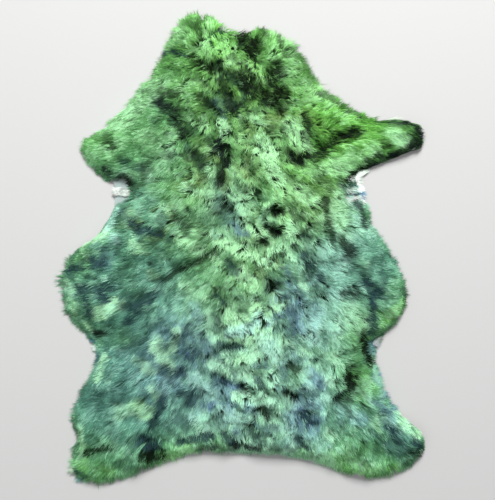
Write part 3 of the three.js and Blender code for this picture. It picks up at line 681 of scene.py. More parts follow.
# The skin's colours as sRGB, and the underwool's as scene-linear ones: painted shade, dark for the depth of
# the fleece and near black as painted shadow in the partings
SUEDE = {"pale": (0.86, 0.86, 0.83), "dim": (0.77, 0.75, 0.69)}
STAIN = {"pale": (0.70, 0.76, 0.74), "dim": (0.42, 0.50, 0.50)}
SHADED_UNDERWOOL = {"pale": (0.05, 0.13, 0.05), "dim": (0.02, 0.06, 0.025), "parted": (0.003, 0.009, 0.004)}


def linear(colour):
    """An sRGB colour as Blender's scene-linear one."""
    return tuple(c / 12.92 if c <= 0.04045 else ((c + 0.055) / 1.055) ** 2.4 for c in colour)


def smooth(low, high, value):
    t = np.clip((value - low) / (high - low), 0, 1)
    return t * t * (3 - 2 * t)


def blend(a, b, share):
    return a + (b - a) * share


def columns(table, *names):
    """The named columns of a table as arrays, with the first column left out."""
    return {name: np.array([row[k + 1] for row in table]) for k, name in enumerate(names)}


# Noise

LATTICE = np.random.default_rng(SEED + 1).random((64, 64))


def cloud(x, y, pitch, layer=0, octaves=2):
    """Soft noise between 0 and 1, with blobs of one pitch in millimetres and finer ones in them."""
    total, weight, sum_of_weights = 0.0, 1.0, 0.0
    for octave in range(octaves):
        u = x / (pitch * MM) * 2**octave + 17.3 * (layer + octave)
        v = y / (pitch * MM) * 2**octave + 9.1 * (layer + 2 * octave)
        i, j = np.floor(u).astype(int), np.floor(v).astype(int)
        a, b = smooth(0, 1, u - i), smooth(0, 1, v - j)
        corner = lambda di, dj: LATTICE[(i + di) % 64, (j + dj) % 64]
        low = blend(corner(0, 0), corner(1, 0), a)
        high = blend(corner(0, 1), corner(1, 1), a)
        total = total + weight * blend(low, high, b)
        sum_of_weights += weight
        weight *= 0.5
    return total / sum_of_weights


# The lie of the land

def placed(name, data):
    """A mesh, a light or a camera as a new object of the scene."""
    piece = bpy.data.objects.new(name, data)
    bpy.context.scene.collection.objects.link(piece)
    return piece


def merged_copy(node, name):
    """A copy of a CAD node's mesh with its doubled points merged, as a new object."""
    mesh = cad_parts[node].data.copy()
    mesh.name = name
    piece = placed(name, mesh)
    work = bmesh.new()
    work.from_mesh(mesh)
    bmesh.ops.remove_doubles(work, verts=work.verts, dist=0.01 * MM)
    work.to_mesh(mesh)
    work.free()
    mesh.materials.clear()
    return piece


def points_of(mesh):
    places = np.empty(len(mesh.vertices) * 3)
    mesh.vertices.foreach_get("co", places)
    return places.reshape(-1, 3)


def kd_of(points):
    tree = KDTree(len(points))
    for k, (x, y) in enumerate(points):
        tree.insert((x, y, 0), k)
    tree.balance()
    return tree


def nearest(tree, points):
    """For each point, the number of the nearest one in the tree and how far it is."""
    found = [tree.find((x, y, 0)) for x, y in points]
    return np.array([f[1] for f in found]), np.array([f[2] for f in found])


class Land:
    """The lie of the skin and the wool as maps over the ground, which can be read at any place."""

    def __init__(self, skin, wool):
        low, high = np.array(cad_box[0])[:2] - MAP_MARGIN, np.array(cad_box[1])[:2] + MAP_MARGIN
        self.low = low
        self.shape = tuple(np.ceil((high - low) / MAP_STEP).astype(int) + 1)
        i, j = np.meshgrid(*[np.arange(n) for n in self.shape], indexing="ij")
        self.spots = np.column_stack([(low[0] + i * MAP_STEP).ravel(), (low[1] + j * MAP_STEP).ravel()])
        self.measure_edge(skin, wool)
        self.map_heights(skin, wool)

    def measure_edge(self, skin, wool):
        """Places along the skin's cut edge, with the way out and how far the wool hangs past it there."""
        work = bmesh.new()
        work.from_mesh(skin.data)
        places, ways = [], []
        for edge in work.edges:
            wall = [f for f in edge.link_faces if abs(f.normal.z) < 0.5]
            top = [f for f in edge.link_faces if f.normal.z > 0.5]
            if len(wall) == 1 and len(top) == 1:
                a, b = (np.array(v.co) for v in edge.verts)
                steps = max(1, round(float(np.linalg.norm(b - a)) / EDGE_STEP))
                way = np.array(wall[0].normal)[:2]
                for n in range(steps):
                    places.append(a + (b - a) * (n + 0.5) / steps)
                    ways.append(way / np.linalg.norm(way))
        work.free()
        self.edge, self.way = np.array(places), np.array(ways)
        self.edge_tree = kd_of(self.edge[:, :2])
        tips = points_of(wool.data)[:, :2]
        near, _ = nearest(self.edge_tree, tips)
        past = ((tips - self.edge[near, :2]) * self.way[near]).sum(1)
        apart = np.linalg.norm(self.edge[:, None, :2] - self.edge[None, :, :2], axis=2)
        reach = np.array([past[row[near] < EDGE_SPAN].max(initial=-0.1) for row in apart])
        weights = np.exp(-((apart / EDGE_SPAN) ** 2))
        self.reach = weights @ reach / weights.sum(1)
        for at, x0, y0, x1, y1, reach, hang in HEMS:
            self.reach = blend(self.reach, hang * MM, self.edge_by((x0, y0), (x1, y1), reach))
        self.loose = np.ones(len(self.edge))
        for at, x0, y0, x1, y1, reach, looseness in FRINGES:
            self.loose = blend(self.loose, looseness, self.edge_by((x0, y0), (x1, y1), reach))

    def edge_by(self, start, end, reach):
        """How near places along the edge are to a line: 1 beside it and 0 well away from it."""
        return smooth(0.2, 0.7, parted(*self.edge[:, :2].T, start, end, reach))

    def map_heights(self, skin, wool):
        """The maps of the ground, of the wool's height over it and of what the nearest edge measures."""
        near, away = nearest(self.edge_tree, self.spots)
        skin_top, wool_top = self.skyline(skin), self.skyline(wool)
        on_skin = ~np.isnan(skin_top)
        self.maps = {
            "inside": np.where(on_skin, away, -away),
            "reach": self.reach[near],
            "loose": self.loose[near],
            "out x": self.way[near, 0],
            "out y": self.way[near, 1],
        }
        inside, hang = self.maps["inside"], np.maximum(self.reach[near], 0)
        fading = self.edge[near, 2] * np.clip(1 + inside / SKIN_DROOP, 0, 1)
        ground = np.where(on_skin, skin_top, fading)
        whole = on_skin & ~np.isnan(wool_top) & (inside > RIM_ROUND + np.maximum(-self.reach[near], 0))
        kept = np.flatnonzero(whole)
        filled, _ = nearest(kd_of(self.spots[kept]), self.spots)
        height = (wool_top - ground)[kept][filled]
        start = np.where(self.reach[near] < 0, -self.reach[near], 0)
        share = np.clip((inside - start + hang) / (RIM_ROUND + hang), 0, 1)
        self.maps["ground"] = ground
        self.maps["height"] = self.comb_height(height) * share**RIM_POWER
        self.maps = {name: np.asarray(value).reshape(self.shape) for name, value in self.maps.items()}
        top = self.maps["ground"] + self.maps["height"]
        self.maps["slope x"], self.maps["slope y"] = np.gradient(top, MAP_STEP)

    def comb_height(self, height):
        """The wool's height with its swells and partings."""
        x, y = self.spots.T
        swells = 1 + LUMPS["share"] * (2 * cloud(x, y, LUMPS["pitch"], layer=3) - 1)
        for at, x0, y0, x1, y1, reach, dye, strength, sink in PARTINGS:
            swells = swells * (1 - sink * parted(x, y, (x0, y0), (x1, y1), reach))
        return height * swells

    def skyline(self, piece):
        """The height of a piece's top at each spot of the map."""
        mesh = piece.data
        tree = BVHTree.FromPolygons(points_of(mesh).tolist(), [tuple(f.vertices) for f in mesh.polygons])
        down = Vector((0, 0, -1))
        hits = [tree.ray_cast(Vector((x, y, 1)), down)[0] for x, y in self.spots]
        return np.array([np.nan if hit is None else hit.z for hit in hits])

    def read(self, name, x, y):
        """What a map says at places, between its spots too."""
        u = np.clip((x - self.low[0]) / MAP_STEP, 0, self.shape[0] - 1.001)
        v = np.clip((y - self.low[1]) / MAP_STEP, 0, self.shape[1] - 1.001)
        i, j = u.astype(int), v.astype(int)
        a, b, field = u - i, v - j, self.maps[name]
        low = blend(field[i, j], field[i + 1, j], a)
        high = blend(field[i, j + 1], field[i + 1, j + 1], a)
        return blend(low, high, b)


def parted(x, y, start, end, reach):
    """How deep places are in a parting that runs from start to end: 1 on its line and 0 well outside it."""
    (x0, y0), (x1, y1) = np.array(start) * MM, np.array(end) * MM
    run = np.array([x1 - x0, y1 - y0])
    along = np.clip(((x - x0) * run[0] + (y - y0) * run[1]) / max(run @ run, 1e-12), 0, 1)
    away = np.hypot(x - x0 - along * run[0], y - y0 - along * run[1])
    return np.exp(-((away / (reach * MM)) ** 2))


# The locks

def comb_at(x, y):
    """The heading in radians, the lean, the length and the curl of the wool at places."""
    rows = columns(NAP, "x", "y", "heading", "lean", "length", "curl")
    away = np.hypot(x[:, None] - rows["x"] * MM, y[:, None] - rows["y"] * MM)
    hold = 1 / (away + NAP_NEAR) ** NAP_POWER
    hold = hold / hold.sum(1, keepdims=True)
    turn = np.radians(rows["heading"])
    heading = np.arctan2(hold @ np.sin(turn), hold @ np.cos(turn))
    return heading, hold @ rows["lean"], hold @ rows["length"] * MM, hold @ rows["curl"]


def staggered(pitch, stray):
    """Places over the whole pelt in staggered rows, each a little out of line."""
    low, high = np.array(cad_box[0])[:2], np.array(cad_box[1])[:2]
    row_step = pitch * math.sqrt(3) / 2
    i, j = np.meshgrid(
        np.arange(round((high[0] - low[0]) / pitch) + 2),
        np.arange(round((high[1] - low[1]) / row_step) + 2),
        indexing="ij",
    )
    x = low[0] + (i + (j % 2) / 2).ravel() * pitch + RNG.normal(0, stray * pitch, i.size)
    y = low[1] + j.ravel() * row_step + RNG.normal(0, stray * pitch, i.size)
    return x, y


def spread_locks(land):
    """The locks that cover the skin, each in a tuft."""
    tuft_x, tuft_y = staggered(TUFT_PITCH, TUFT_STRAY)
    x, y = staggered(LOCK_PITCH, LOCK_STRAY)
    bare = np.maximum(-land.read("reach", x, y), 0)
    rooted = land.read("inside", x, y) > EDGE_CLEAR + bare
    x, y = x[rooted], y[rooted]
    tuft, _ = nearest(kd_of(np.column_stack([tuft_x, tuft_y])), np.column_stack([x, y]))
    per_tuft = lambda scale: RNG.normal(0, scale, len(tuft_x))[tuft]
    heading, lean, length, curl = comb_at(x, y)
    turn = per_tuft(TUFT_TURN) * curl + RNG.normal(0, LOCK_TURN, len(x))
    inside, reach = land.read("inside", x, y), land.read("reach", x, y)
    at_rim = smooth(RIM_LOCKS, 0.3 * RIM_LOCKS, inside) * smooth(1 * MM, 8 * MM, reach)
    heading = heading + np.radians(turn) * (1 - RIM_TURN * at_rim)
    heading = np.arctan2(
        blend(np.sin(heading), land.read("out y", x, y), RIM_TURN * at_rim),
        blend(np.cos(heading), land.read("out x", x, y), RIM_TURN * at_rim),
    )
    return {
        "x": x, "y": y, "heading": heading, "lean": lean, "curl": curl,
        "length": length * RNG.uniform(*LOCK_LENGTHS, len(x)),
        "spread": np.full(len(x), LOCK_SPREAD),
        "tuft x": tuft_x[tuft], "tuft y": tuft_y[tuft], "tuft tone": per_tuft(1.0),
        "lift": per_tuft(TUFT_LIFT) * curl + RNG.normal(0, LOCK_LIFT, len(x)),
        "dye": np.full(len(x), ""), "strength": np.zeros(len(x)),
        "bare": np.zeros(len(x), bool),
    }


def loose_tufts():
    """The locks of the tufts' table."""
    rows = []
    for at, x, y, reach, heading, lean, length, locks, spread, dye, strength in TUFTS:
        for n in range(locks):
            dx, dy = RNG.normal(0, 0.5 * reach * MM, 2)
            rows.append({
                "x": x * MM + dx, "y": y * MM + dy, "lean": lean, "curl": 0.15,
                "heading": math.radians(heading + RNG.normal(0, 14)),
                "length": length * MM * RNG.uniform(0.7, 1.15),
                "spread": spread * MM,
                "tuft x": x * MM, "tuft y": y * MM, "tuft tone": 0.0, "lift": 0.0,
                "dye": dye, "strength": strength, "bare": True,
            })
    return {name: np.array([row[name] for row in rows]) for name in rows[0]}


def join_locks(*sets):
    return {name: np.concatenate([s[name] for s in sets]) for name in sets[0]}


# The strands

class Chance:
    """Random numbers for every strand: its own, its wisp's or its lock's."""

    def __init__(self, locks):
        self.locks = locks
        self.lock = np.repeat(np.arange(locks), LOCK_STRANDS)
        self.strands = len(self.lock)
        self.wisp = RNG.integers(0, WISPS, self.strands)

    def per_lock(self, scale):
        return RNG.normal(0, scale, self.locks)[self.lock]

    def per_wisp(self, scale):
        return RNG.normal(0, scale, (self.locks, WISPS))[self.lock, self.wisp]

    def per_strand(self):
        return RNG.normal(0, 1, self.strands)

    def wisp_share(self):
        return RNG.random((self.locks, WISPS))[self.lock, self.wisp]

    def strand_share(self, low=0, high=1):
        return RNG.uniform(low, high, self.strands)


def root_strands(lock, chance, land):
    """Where each strand and its wisp are rooted, and which way and how far they run over the skin."""
    angle = 2 * np.pi * chance.wisp_share()
    away = lock["spread"] * WISP_RING * np.sqrt(chance.wisp_share())
    wisp = {
        "x": lock["x"] + away * np.cos(angle),
        "y": lock["y"] + away * np.sin(angle),
        "heading": lock["heading"] + np.radians(chance.per_wisp(WISP_TURN)) * (1 + WISP_CURL * lock["curl"]),
        "run": lock["length"] * lock["lean"] * (1 + chance.per_wisp(WISP_LENGTH)),
    }
    turn = np.radians(STRAND_TURN) * chance.per_strand() * (1 + STRAND_CURL * lock["curl"])
    run = wisp["run"] * chance.strand_share(*STRAND_LENGTHS)
    spread = WISP_SPREAD * lock["spread"] / LOCK_SPREAD
    x = wisp["x"] + spread * chance.per_strand()
    y = wisp["y"] + spread * chance.per_strand()
    slack = np.where(lock["bare"], 0, np.maximum(-land.read("reach", x, y), 0))
    short = np.maximum(EDGE_CLEAR + slack - land.read("inside", x, y), 0)
    x = x - short * land.read("out x", x, y)
    y = y - short * land.read("out y", x, y)
    return wisp, {"x": x, "y": y, "heading": wisp["heading"] + turn, "run": run}


def draw_out(lock, strand, chance, land):
    """Lengthen the strands at the rim, and say which those are and how far past the skin each may stand."""
    x, y, heading = strand["x"], strand["y"], strand["heading"]
    inside, reach = land.read("inside", x, y), land.read("reach", x, y)
    outward = np.cos(heading) * land.read("out x", x, y) + np.sin(heading) * land.read("out y", x, y)
    strays = chance.wisp_share() < STRAYS["wisps"]
    strays = strays | (chance.strand_share() < STRAYS["strands"])
    stretch = chance.strand_share(*RIM_STRETCH)
    stray = chance.per_lock(RAGGED["lock"]) + chance.per_wisp(RAGGED["wisp"])
    stray = stray + STRAYS["reach"] * chance.strand_share() * strays
    stray = (stray + RAGGED["strand"] * chance.per_strand()) * land.read("loose", x, y)
    needed = (inside + reach * stretch + stray) / np.maximum(outward, 0.5)
    rim = smooth(RIM_LOCKS, 0.4 * RIM_LOCKS, inside) * smooth(0.2, 0.6, outward)
    rim = rim * (reach > 1 * MM) * ~lock["bare"]
    strand["run"] = np.maximum(strand["run"], needed * rim)
    return rim, stretch, stray


def place_tips(lock, wisp, strand, chance, land):
    """Where the tips come, gathered to their wisps and tufts and kept within the wool's outline."""
    rim, stretch, stray = draw_out(lock, strand, chance, land)
    heading, run = strand["heading"], strand["run"]
    wisp_tip = [
        wisp["x"] + wisp["run"] * np.cos(wisp["heading"]),
        wisp["y"] + wisp["run"] * np.sin(wisp["heading"]),
    ]
    tuft_tip = [
        lock["tuft x"] + run * np.cos(lock["heading"]),
        lock["tuft y"] + run * np.sin(lock["heading"]),
    ]
    own_tip = [strand["x"] + run * np.cos(heading), strand["y"] + run * np.sin(heading)]
    gather = WISP_GATHER * blend(WISP_SLEEK, 1.0, lock["curl"]) * chance.strand_share(0.5, 1)
    gather = gather * (1 - 0.7 * rim)
    x, y = (
        blend(blend(mine, wisps, gather), tufts, TUFT_GATHER * lock["curl"] * (1 - rim))
        for mine, wisps, tufts in zip(own_tip, wisp_tip, tuft_tip)
    )
    allowed = land.read("reach", x, y) * (stretch + 0.05) + stray
    allowed = np.where(lock["bare"], FRAY_REACH * chance.strand_share() + stray, allowed)
    over = np.maximum(-land.read("inside", x, y) - allowed, 0)
    x = x - over * land.read("out x", x, y)
    y = y - over * land.read("out y", x, y)
    return x, y


def wave_strands(lock, strand, tip, chance):
    """The places that each strand runs over, from its root to its tip with a wave in it."""
    steps = np.array(STRAND_STEPS)
    lean_curve = steps[None, :] ** blend(1.5, 1.0, lock["lean"])[:, None]
    wave = (0.5 + 2.0 * lock["curl"]) * STRAND_WAVE * chance.per_strand()
    phase = chance.strand_share(0, 6)[:, None]
    swing = wave[:, None] * np.sin(np.pi * 1.4 * steps[None, :] + phase) * steps
    x = blend(strand["x"][:, None], tip[0][:, None], lean_curve) - swing * np.sin(strand["heading"])[:, None]
    y = blend(strand["y"][:, None], tip[1][:, None], lean_curve) + swing * np.cos(strand["heading"])[:, None]
    return x, y


def raise_strands(lock, x, y, chance, land):
    """The strands' height at their places: up from the underwool to the wool's top, and down at the tip."""
    steps = np.array(STRAND_STEPS)[None, :]
    ground, height = land.read("ground", x, y), land.read("height", x, y)
    lift = (lock["lift"] + chance.per_wisp(WISP_LIFT) + STRAND_LIFT * chance.per_strand())[:, None]
    rise = 1 - (1 - steps) ** STRAND_RISE
    inner = smooth(0, 20 * MM, land.read("inside", x, y))
    top = ground + height + lift * blend(0.35, 1, inner)
    droop = (1.5 + 2.5 * lock["curl"][:, None]) * MM * steps ** 4
    low = ground[:, :1] + UNDERWOOL * height[:, :1] * ROOT_DEPTH
    on_skin = ground + (1.2 + 3.0 * np.sin(np.pi * steps * 0.9)) * MM
    z = np.where(lock["bare"][:, None], on_skin, blend(low, top, rise) - droop)
    return np.maximum(z, GROUND_CLEAR + 0.8 * MM * chance.strand_share()[:, None])


def comb_strands(locks, land):
    """Each lock's strands: the points along them, the way out of the wool there, and what the dye needs."""
    chance = Chance(len(locks["x"]))
    lock = {name: value[chance.lock] for name, value in locks.items()}
    wisp, strand = root_strands(lock, chance, land)
    tip = place_tips(lock, wisp, strand, chance, land)
    x, y = wave_strands(lock, strand, tip, chance)
    z = raise_strands(lock, x, y, chance, land)
    out = np.stack([-land.read("slope x", x, y), -land.read("slope y", x, y), np.ones_like(x)], axis=2)
    out /= np.linalg.norm(out, axis=2, keepdims=True)
    outer = STRAND_STEPS[OUTER_STEP] * wisp["run"]
    return {
        "points": np.stack([x, y, z], axis=2), "out": out,
        "wisp tone": chance.per_wisp(1.0), "wisp dye": chance.per_wisp(1.0),
        "lock tone": chance.per_lock(1.0), "tuft tone": lock["tuft tone"],
        "dye": lock["dye"], "strength": lock["strength"], "curl": lock["curl"],
        "wisp x": wisp["x"] + outer * np.cos(wisp["heading"]),
        "wisp y": wisp["y"] + outer * np.sin(wisp["heading"]),
        "home": lock["y"],
    }


def dye_strands(strands):
    """How much of each dye a strand took, and its tone, from where its outer part and its wisp lie. The
    near-black pitch is mostly painted shade, and the light places are partly painted highlight.
    """
    outer = strands["points"][:, OUTER_STEP]
    x, y = (blend(outer[:, k], strands[f"wisp {axis}"], 0.6) for k, axis in enumerate("xy"))
    total = len(x)
    x, y = (a + DYE_STRAY * (2 * cloud(x, y, 20, layer=5 + k) - 1) for k, a in enumerate((x, y)))
    streaks = DYE_STREAKS * strands["wisp dye"] * blend(1.0, 0.6, strands["curl"])
    patchy = np.clip(0.95 + 0.15 * strands["wisp tone"] + RNG.normal(0, 0.12, total), 0.2, 1)
    took = {name: np.zeros(total) for name in DYES}
    for at, cx, cy, reach, dye, strength in BATHS:
        away = np.hypot(x - cx * MM, y - cy * MM) / (reach * MM)
        ragged = 0.55 + 0.9 * cloud(x, y, 45, layer=7)
        took[dye] = np.maximum(took[dye], strength * np.clip(1.25 * np.exp(-(away**2)) * ragged, 0, 1))
    # Along the partings: dark dye, and where the dye is pitch, painted shade in pits and creases
    for at, x0, y0, x1, y1, reach, dye, strength, sink in PARTINGS:
        uneven = 0.6 + 0.75 * cloud(x, y, 12, layer=8) + streaks
        deep = parted(x, y, (x0, y0), (x1, y1), 0.95 * reach) * uneven
        took[dye] = np.maximum(took[dye], np.clip(1.05 * strength * smooth(0.15, 0.85, deep) * patchy, 0, 1))
    # The light places: pale dye and painted highlight, which also raise the tone
    light = np.zeros(total)
    for at, x0, y0, x1, y1, reach, dye, strength in PALE_DYE_AND_HIGHLIGHTS:
        uneven = 0.6 + 0.7 * cloud(x, y, 16, layer=9) + streaks
        deep = parted(x, y, (x0, y0), (x1, y1), reach) * uneven
        here = strength * smooth(0.12, 0.7, deep)
        light = np.maximum(light, here)
        took[dye] = np.maximum(took[dye], here)
    for at, cx, cy, reach, dye, strength in MOTTLES:
        here = strength * parted(x, y, (cx, cy), (cx, cy), reach) * (1 - light)
        pitch, layer, most = FLECKS[dye]
        flecks = smooth(0.45, 0.65, cloud(x, y, pitch, layer=layer, octaves=3) + 0.3 * streaks)
        took[dye] = np.maximum(took[dye], most * flecks * here)
    took["slate"] = took["slate"] * (1 - 0.6 * light)
    tufted = strands["dye"] != ""
    for name in ("navy", "soot", "pitch"):
        took[name] = np.where(tufted, 0, 1 - (1 - took[name]) ** DEPTH)
    for name in DYES:
        took[name] = np.where(strands["dye"] == name, strands["strength"], took[name])
    tone = TONE["least"] + TONE["curled"] * strands["curl"] + TONE["light"] * light
    for pitch, share in TONE_PITCHES.items():
        tone = tone + share * (cloud(x, y, pitch, layer=pitch) - 0.5)
    tone = tone + TONE["tuft"] * strands["tuft tone"] * strands["curl"] + TONE["lock"] * strands["lock tone"]
    sleek = blend(TONE_SLEEK, 1.0, strands["curl"])
    tone = tone + sleek * (TONE["wisp"] * strands["wisp tone"] + RNG.normal(0, TONE["strand"], total))
    took["tone"] = np.clip(tone, 0, 1)
    return took


def ribbon_sides(points, out):
    """The ways across each strand and out of its flat side, which is turned a little from the sky."""
    tangent = np.gradient(points, axis=1)
    tangent /= np.maximum(np.linalg.norm(tangent, axis=2, keepdims=True), 1e-9)
    side = np.cross(tangent, out)
    side /= np.maximum(np.linalg.norm(side, axis=2, keepdims=True), 1e-9)
    up = np.cross(side, tangent)
    roll = RNG.normal(0, STRAND_ROLL, len(points))[:, None, None]
    return side * np.cos(roll) + up * np.sin(roll), up * np.cos(roll) - side * np.sin(roll)


def weave(left, right, tip):
    """The rows of two sides in turn, up to the tip that they share."""
    pairs = np.stack([left, right], axis=2)[:, :-1].reshape(len(left), -1, 3)
    return np.concatenate([pairs, tip], axis=1).reshape(-1, 3)


def strands_mesh(name, strands, took, chosen):
    """One piece of joined strands. A strand is a ribbon of two quads that ends in a triangle."""
    points, out = strands["points"][chosen], strands["out"][chosen]
    count, steps = len(points), len(STRAND_STEPS)
    side, face = ribbon_sides(points, out)
    half = 0.5 * STRAND_WIDTH * np.array(STRAND_BREADTH)[None, :, None]
    half = half * RNG.uniform(0.75, 1.3, count)[:, None, None]
    left, right = points - side * half, points + side * half
    shade = blend(face * np.sign((face * out).sum(2, keepdims=True)), out, 0.5)
    left_shade, right_shade = shade - STRAND_ROUND * side, shade + STRAND_ROUND * side
    per = 2 * steps - 1
    places = weave(left, right, points[:, -1:])
    normals = weave(left_shade, right_shade, shade[:, -1:])
    normals /= np.linalg.norm(normals, axis=1, keepdims=True)

    faces = [[2 * k, 2 * k + 1, 2 * k + 3, 2 * k + 2] for k in range(steps - 2)]
    faces.append([per - 3, per - 2, per - 1])
    loops = (np.arange(count)[:, None] * per + np.concatenate(faces)[None, :]).ravel()
    sizes = np.tile([len(f) for f in faces], count)
    mesh = bpy.data.meshes.new(name)
    mesh.vertices.add(len(places))
    mesh.vertices.foreach_set("co", places.astype(np.float32).ravel())
    mesh.loops.add(len(loops))
    mesh.loops.foreach_set("vertex_index", loops.astype(np.int32))
    mesh.polygons.add(len(sizes))
    mesh.polygons.foreach_set("loop_start", np.concatenate([[0], np.cumsum(sizes)[:-1]]).astype(np.int32))
    mesh.update(calc_edges=True)
    mesh.polygons.foreach_set("use_smooth", np.ones(len(sizes), bool))
    lay_out(mesh, count, faces, per, loops)
    along = np.append(np.repeat(STRAND_STEPS[:-1], 2), 1.0)
    put(mesh, "along", np.tile(along, count))
    for dye, share in took.items():
        put(mesh, dye, np.repeat(share[chosen], per))
    mesh.normals_split_custom_set_from_vertices(normals.tolist())
    return placed(name, mesh)


def put(mesh, name, values):
    """A number for each point of a mesh, which its material reads by name."""
    attribute = mesh.attributes.new(name, "FLOAT", "POINT")
    attribute.data.foreach_set("value", np.asarray(values, np.float32))


def lay_out(mesh, count, faces, per, loops):
    """A UV map on which each strand has a cell of its own, four times as high as it is wide."""
    rows = max(1, math.ceil(math.sqrt(count / 4)))
    cols = math.ceil(count / rows)
    strand = loops // per
    point = loops % per
    step = np.minimum(point // 2, len(STRAND_STEPS) - 1)
    across = np.where(point == per - 1, 0.5, (point % 2).astype(float))
    u = (strand % cols + 0.12 + 0.76 * across) / cols
    v = (strand // cols + 0.04 + 0.92 * step / (len(STRAND_STEPS) - 1)) / rows
    layer = mesh.uv_layers.new(name="OFBake")
    layer.data.foreach_set("uv", np.column_stack([u, v]).astype(np.float32).ravel())


# Materials

class Wire:
    """A node's output on which arithmetic adds Math nodes."""

    def __init__(self, recipe, socket):
        self.recipe, self.socket = recipe, socket

    def math(self, operation, *values):
        return self.recipe.node("ShaderNodeMath", {"operation": operation}, dict(enumerate(values)))[0]

    def __add__(self, other): return self.math("ADD", self, other)
    def __radd__(self, other): return self.math("ADD", other, self)
    def __sub__(self, other): return self.math("SUBTRACT", self, other)
    def __rsub__(self, other): return self.math("SUBTRACT", other, self)
    def __mul__(self, other): return self.math("MULTIPLY", self, other)
    def __rmul__(self, other): return self.math("MULTIPLY", other, self)


class Recipe:
    """A material's nodes, built up in plain expressions."""

    def __init__(self, name):
        self.material = bpy.data.materials.new(name)
        self.material.use_nodes = True
        self.tree = self.material.node_tree
        self.tree.nodes.clear()

    def node(self, kind, settings=None, sockets=None):
        """A new node with its settings and then its sockets set, as a list of its outputs."""
        made = self.tree.nodes.new(kind)
        for name, value in (settings or {}).items():
            setattr(made, name, value)
        for name, value in (sockets or {}).items():
            if isinstance(value, Wire):
                self.tree.links.new(value.socket, made.inputs[name])
            else:
                made.inputs[name].default_value = value
        return [Wire(self, output) for output in made.outputs]

    def attribute(self, name):
        return self.node("ShaderNodeAttribute", {"attribute_name": name})[2]

    def mix(self, first, second, share):
        first, second = (c if isinstance(c, Wire) else (*c, 1.0) for c in (first, second))
        sockets = {0: share, 6: first, 7: second}
        return self.node("ShaderNodeMix", {"data_type": "RGBA", "clamp_factor": True}, sockets)[2]

    def multiply(self, first, second, share):
        sockets = {0: share, 6: first, 7: second}
        return self.node("ShaderNodeMix", {"data_type": "RGBA", "blend_type": "MULTIPLY"}, sockets)[2]

    def shade(self, colour, amount):
        """A colour made brighter or darker by a number."""
        scale = {"operation": "SCALE"}
        return self.node("ShaderNodeVectorMath", scale, {0: colour, "Scale": amount})[0]

    def place(self):
        return self.node("ShaderNodeTexCoord")[3]

    def noise(self, scale, detail=2.0):
        sockets = {"Vector": self.place(), "Scale": scale, "Detail": detail}
        return self.node("ShaderNodeTexNoise", None, sockets)[0]

    def range(self, value, low, high, to_low, to_high):
        sockets = {0: value, 1: low, 2: high, 3: to_low, 4: to_high}
        return self.node("ShaderNodeMapRange", {"clamp": True}, sockets)[0]

    def bump(self, height, strength, distance):
        sockets = {"Strength": strength, "Distance": distance, "Height": height}
        return self.node("ShaderNodeBump", None, sockets)[0]

    def finish(self, **sockets):
        named = {name.replace("_", " "): value for name, value in sockets.items()}
        shader = self.node("ShaderNodeBsdfPrincipled", None, named)[0]
        self.node("ShaderNodeOutputMaterial", None, {"Surface": shader})
        return self.material


def wool_material():
    """Dyed wool, with painted shade and highlight: dark at the root as shade deep in the fleece, lighter and
    paler at the tip, partly bleached and partly painted highlight, with each dye mixed in as the strand took
    it.
    """
    wool = Recipe("wool")
    along, tone = wool.attribute("along"), wool.attribute("tone")
    colour = linear(DYES["leaf"])
    for dye in ("teal", "lime", "olive", "mint", "frost", "haze", "slate"):
        colour = wool.mix(colour, linear(DYES[dye]), wool.attribute(dye))
    mottle = wool.range(wool.noise(260.0), 0.3, 0.7, 0.88, 1.1)
    # Painted shade: each strand darker towards its root, deep in the fleece
    tip = wool.range(along, 0.1, 0.9, 0.55, 1.05)
    colour = wool.multiply(colour, colour, wool.range(tone, 0.0, 0.75, 0.40, 0.0))
    colour = wool.shade(colour, wool.range(tone, 0.0, 0.75, 0.42, 1.12) * tip * mottle)
    # Painted highlight with some bleaching: the lightest strands pale towards their tips
    bleach_and_highlight = wool.range(tone, 0.45, 1.0, 0.0, 0.8) * wool.range(along, 0.3, 1.0, 0.3, 1.0)
    bleach_and_highlight = bleach_and_highlight * (1.0 - 0.8 * wool.attribute("slate"))
    cool = wool.attribute("frost") + wool.attribute("teal") + wool.attribute("haze")
    colour = wool.mix(colour, wool.mix(linear(DYES["mint"]), linear(DYES["frost"]), cool), bleach_and_highlight)
    for dye in ("navy", "soot", "pitch", "undyed"):
        strength = wool.attribute(dye)
        # Painted shade: the dark dyes and the undyed wool darker towards the root
        lit = wool.range(along, 0.0, 1.0, 0.7, 1.15)
        strong = wool.shade(linear(DYES[dye]), (0.5 + 1.0 * tone) * lit)
        colour = wool.mix(colour, strong, strength)
    return wool.finish(Base_Color=colour, Roughness=0.7, Specular_IOR_Level=0.1)


def underwool_material():
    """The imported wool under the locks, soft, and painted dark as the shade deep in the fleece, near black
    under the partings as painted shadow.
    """
    deep = Recipe("underwool")
    blotch = deep.range(deep.noise(60.0, 4.0), 0.35, 0.65, 0.0, 1.0)
    colour = deep.mix(SHADED_UNDERWOOL["dim"], SHADED_UNDERWOOL["pale"], blotch)
    colour = deep.mix(colour, SHADED_UNDERWOOL["parted"], deep.attribute("parted"))
    fluff = deep.bump(deep.noise(420.0, 5.0), 0.8, 2 * MM)
    return deep.finish(Base_Color=colour, Roughness=0.9, Normal=fluff, Specular_IOR_Level=0.15)


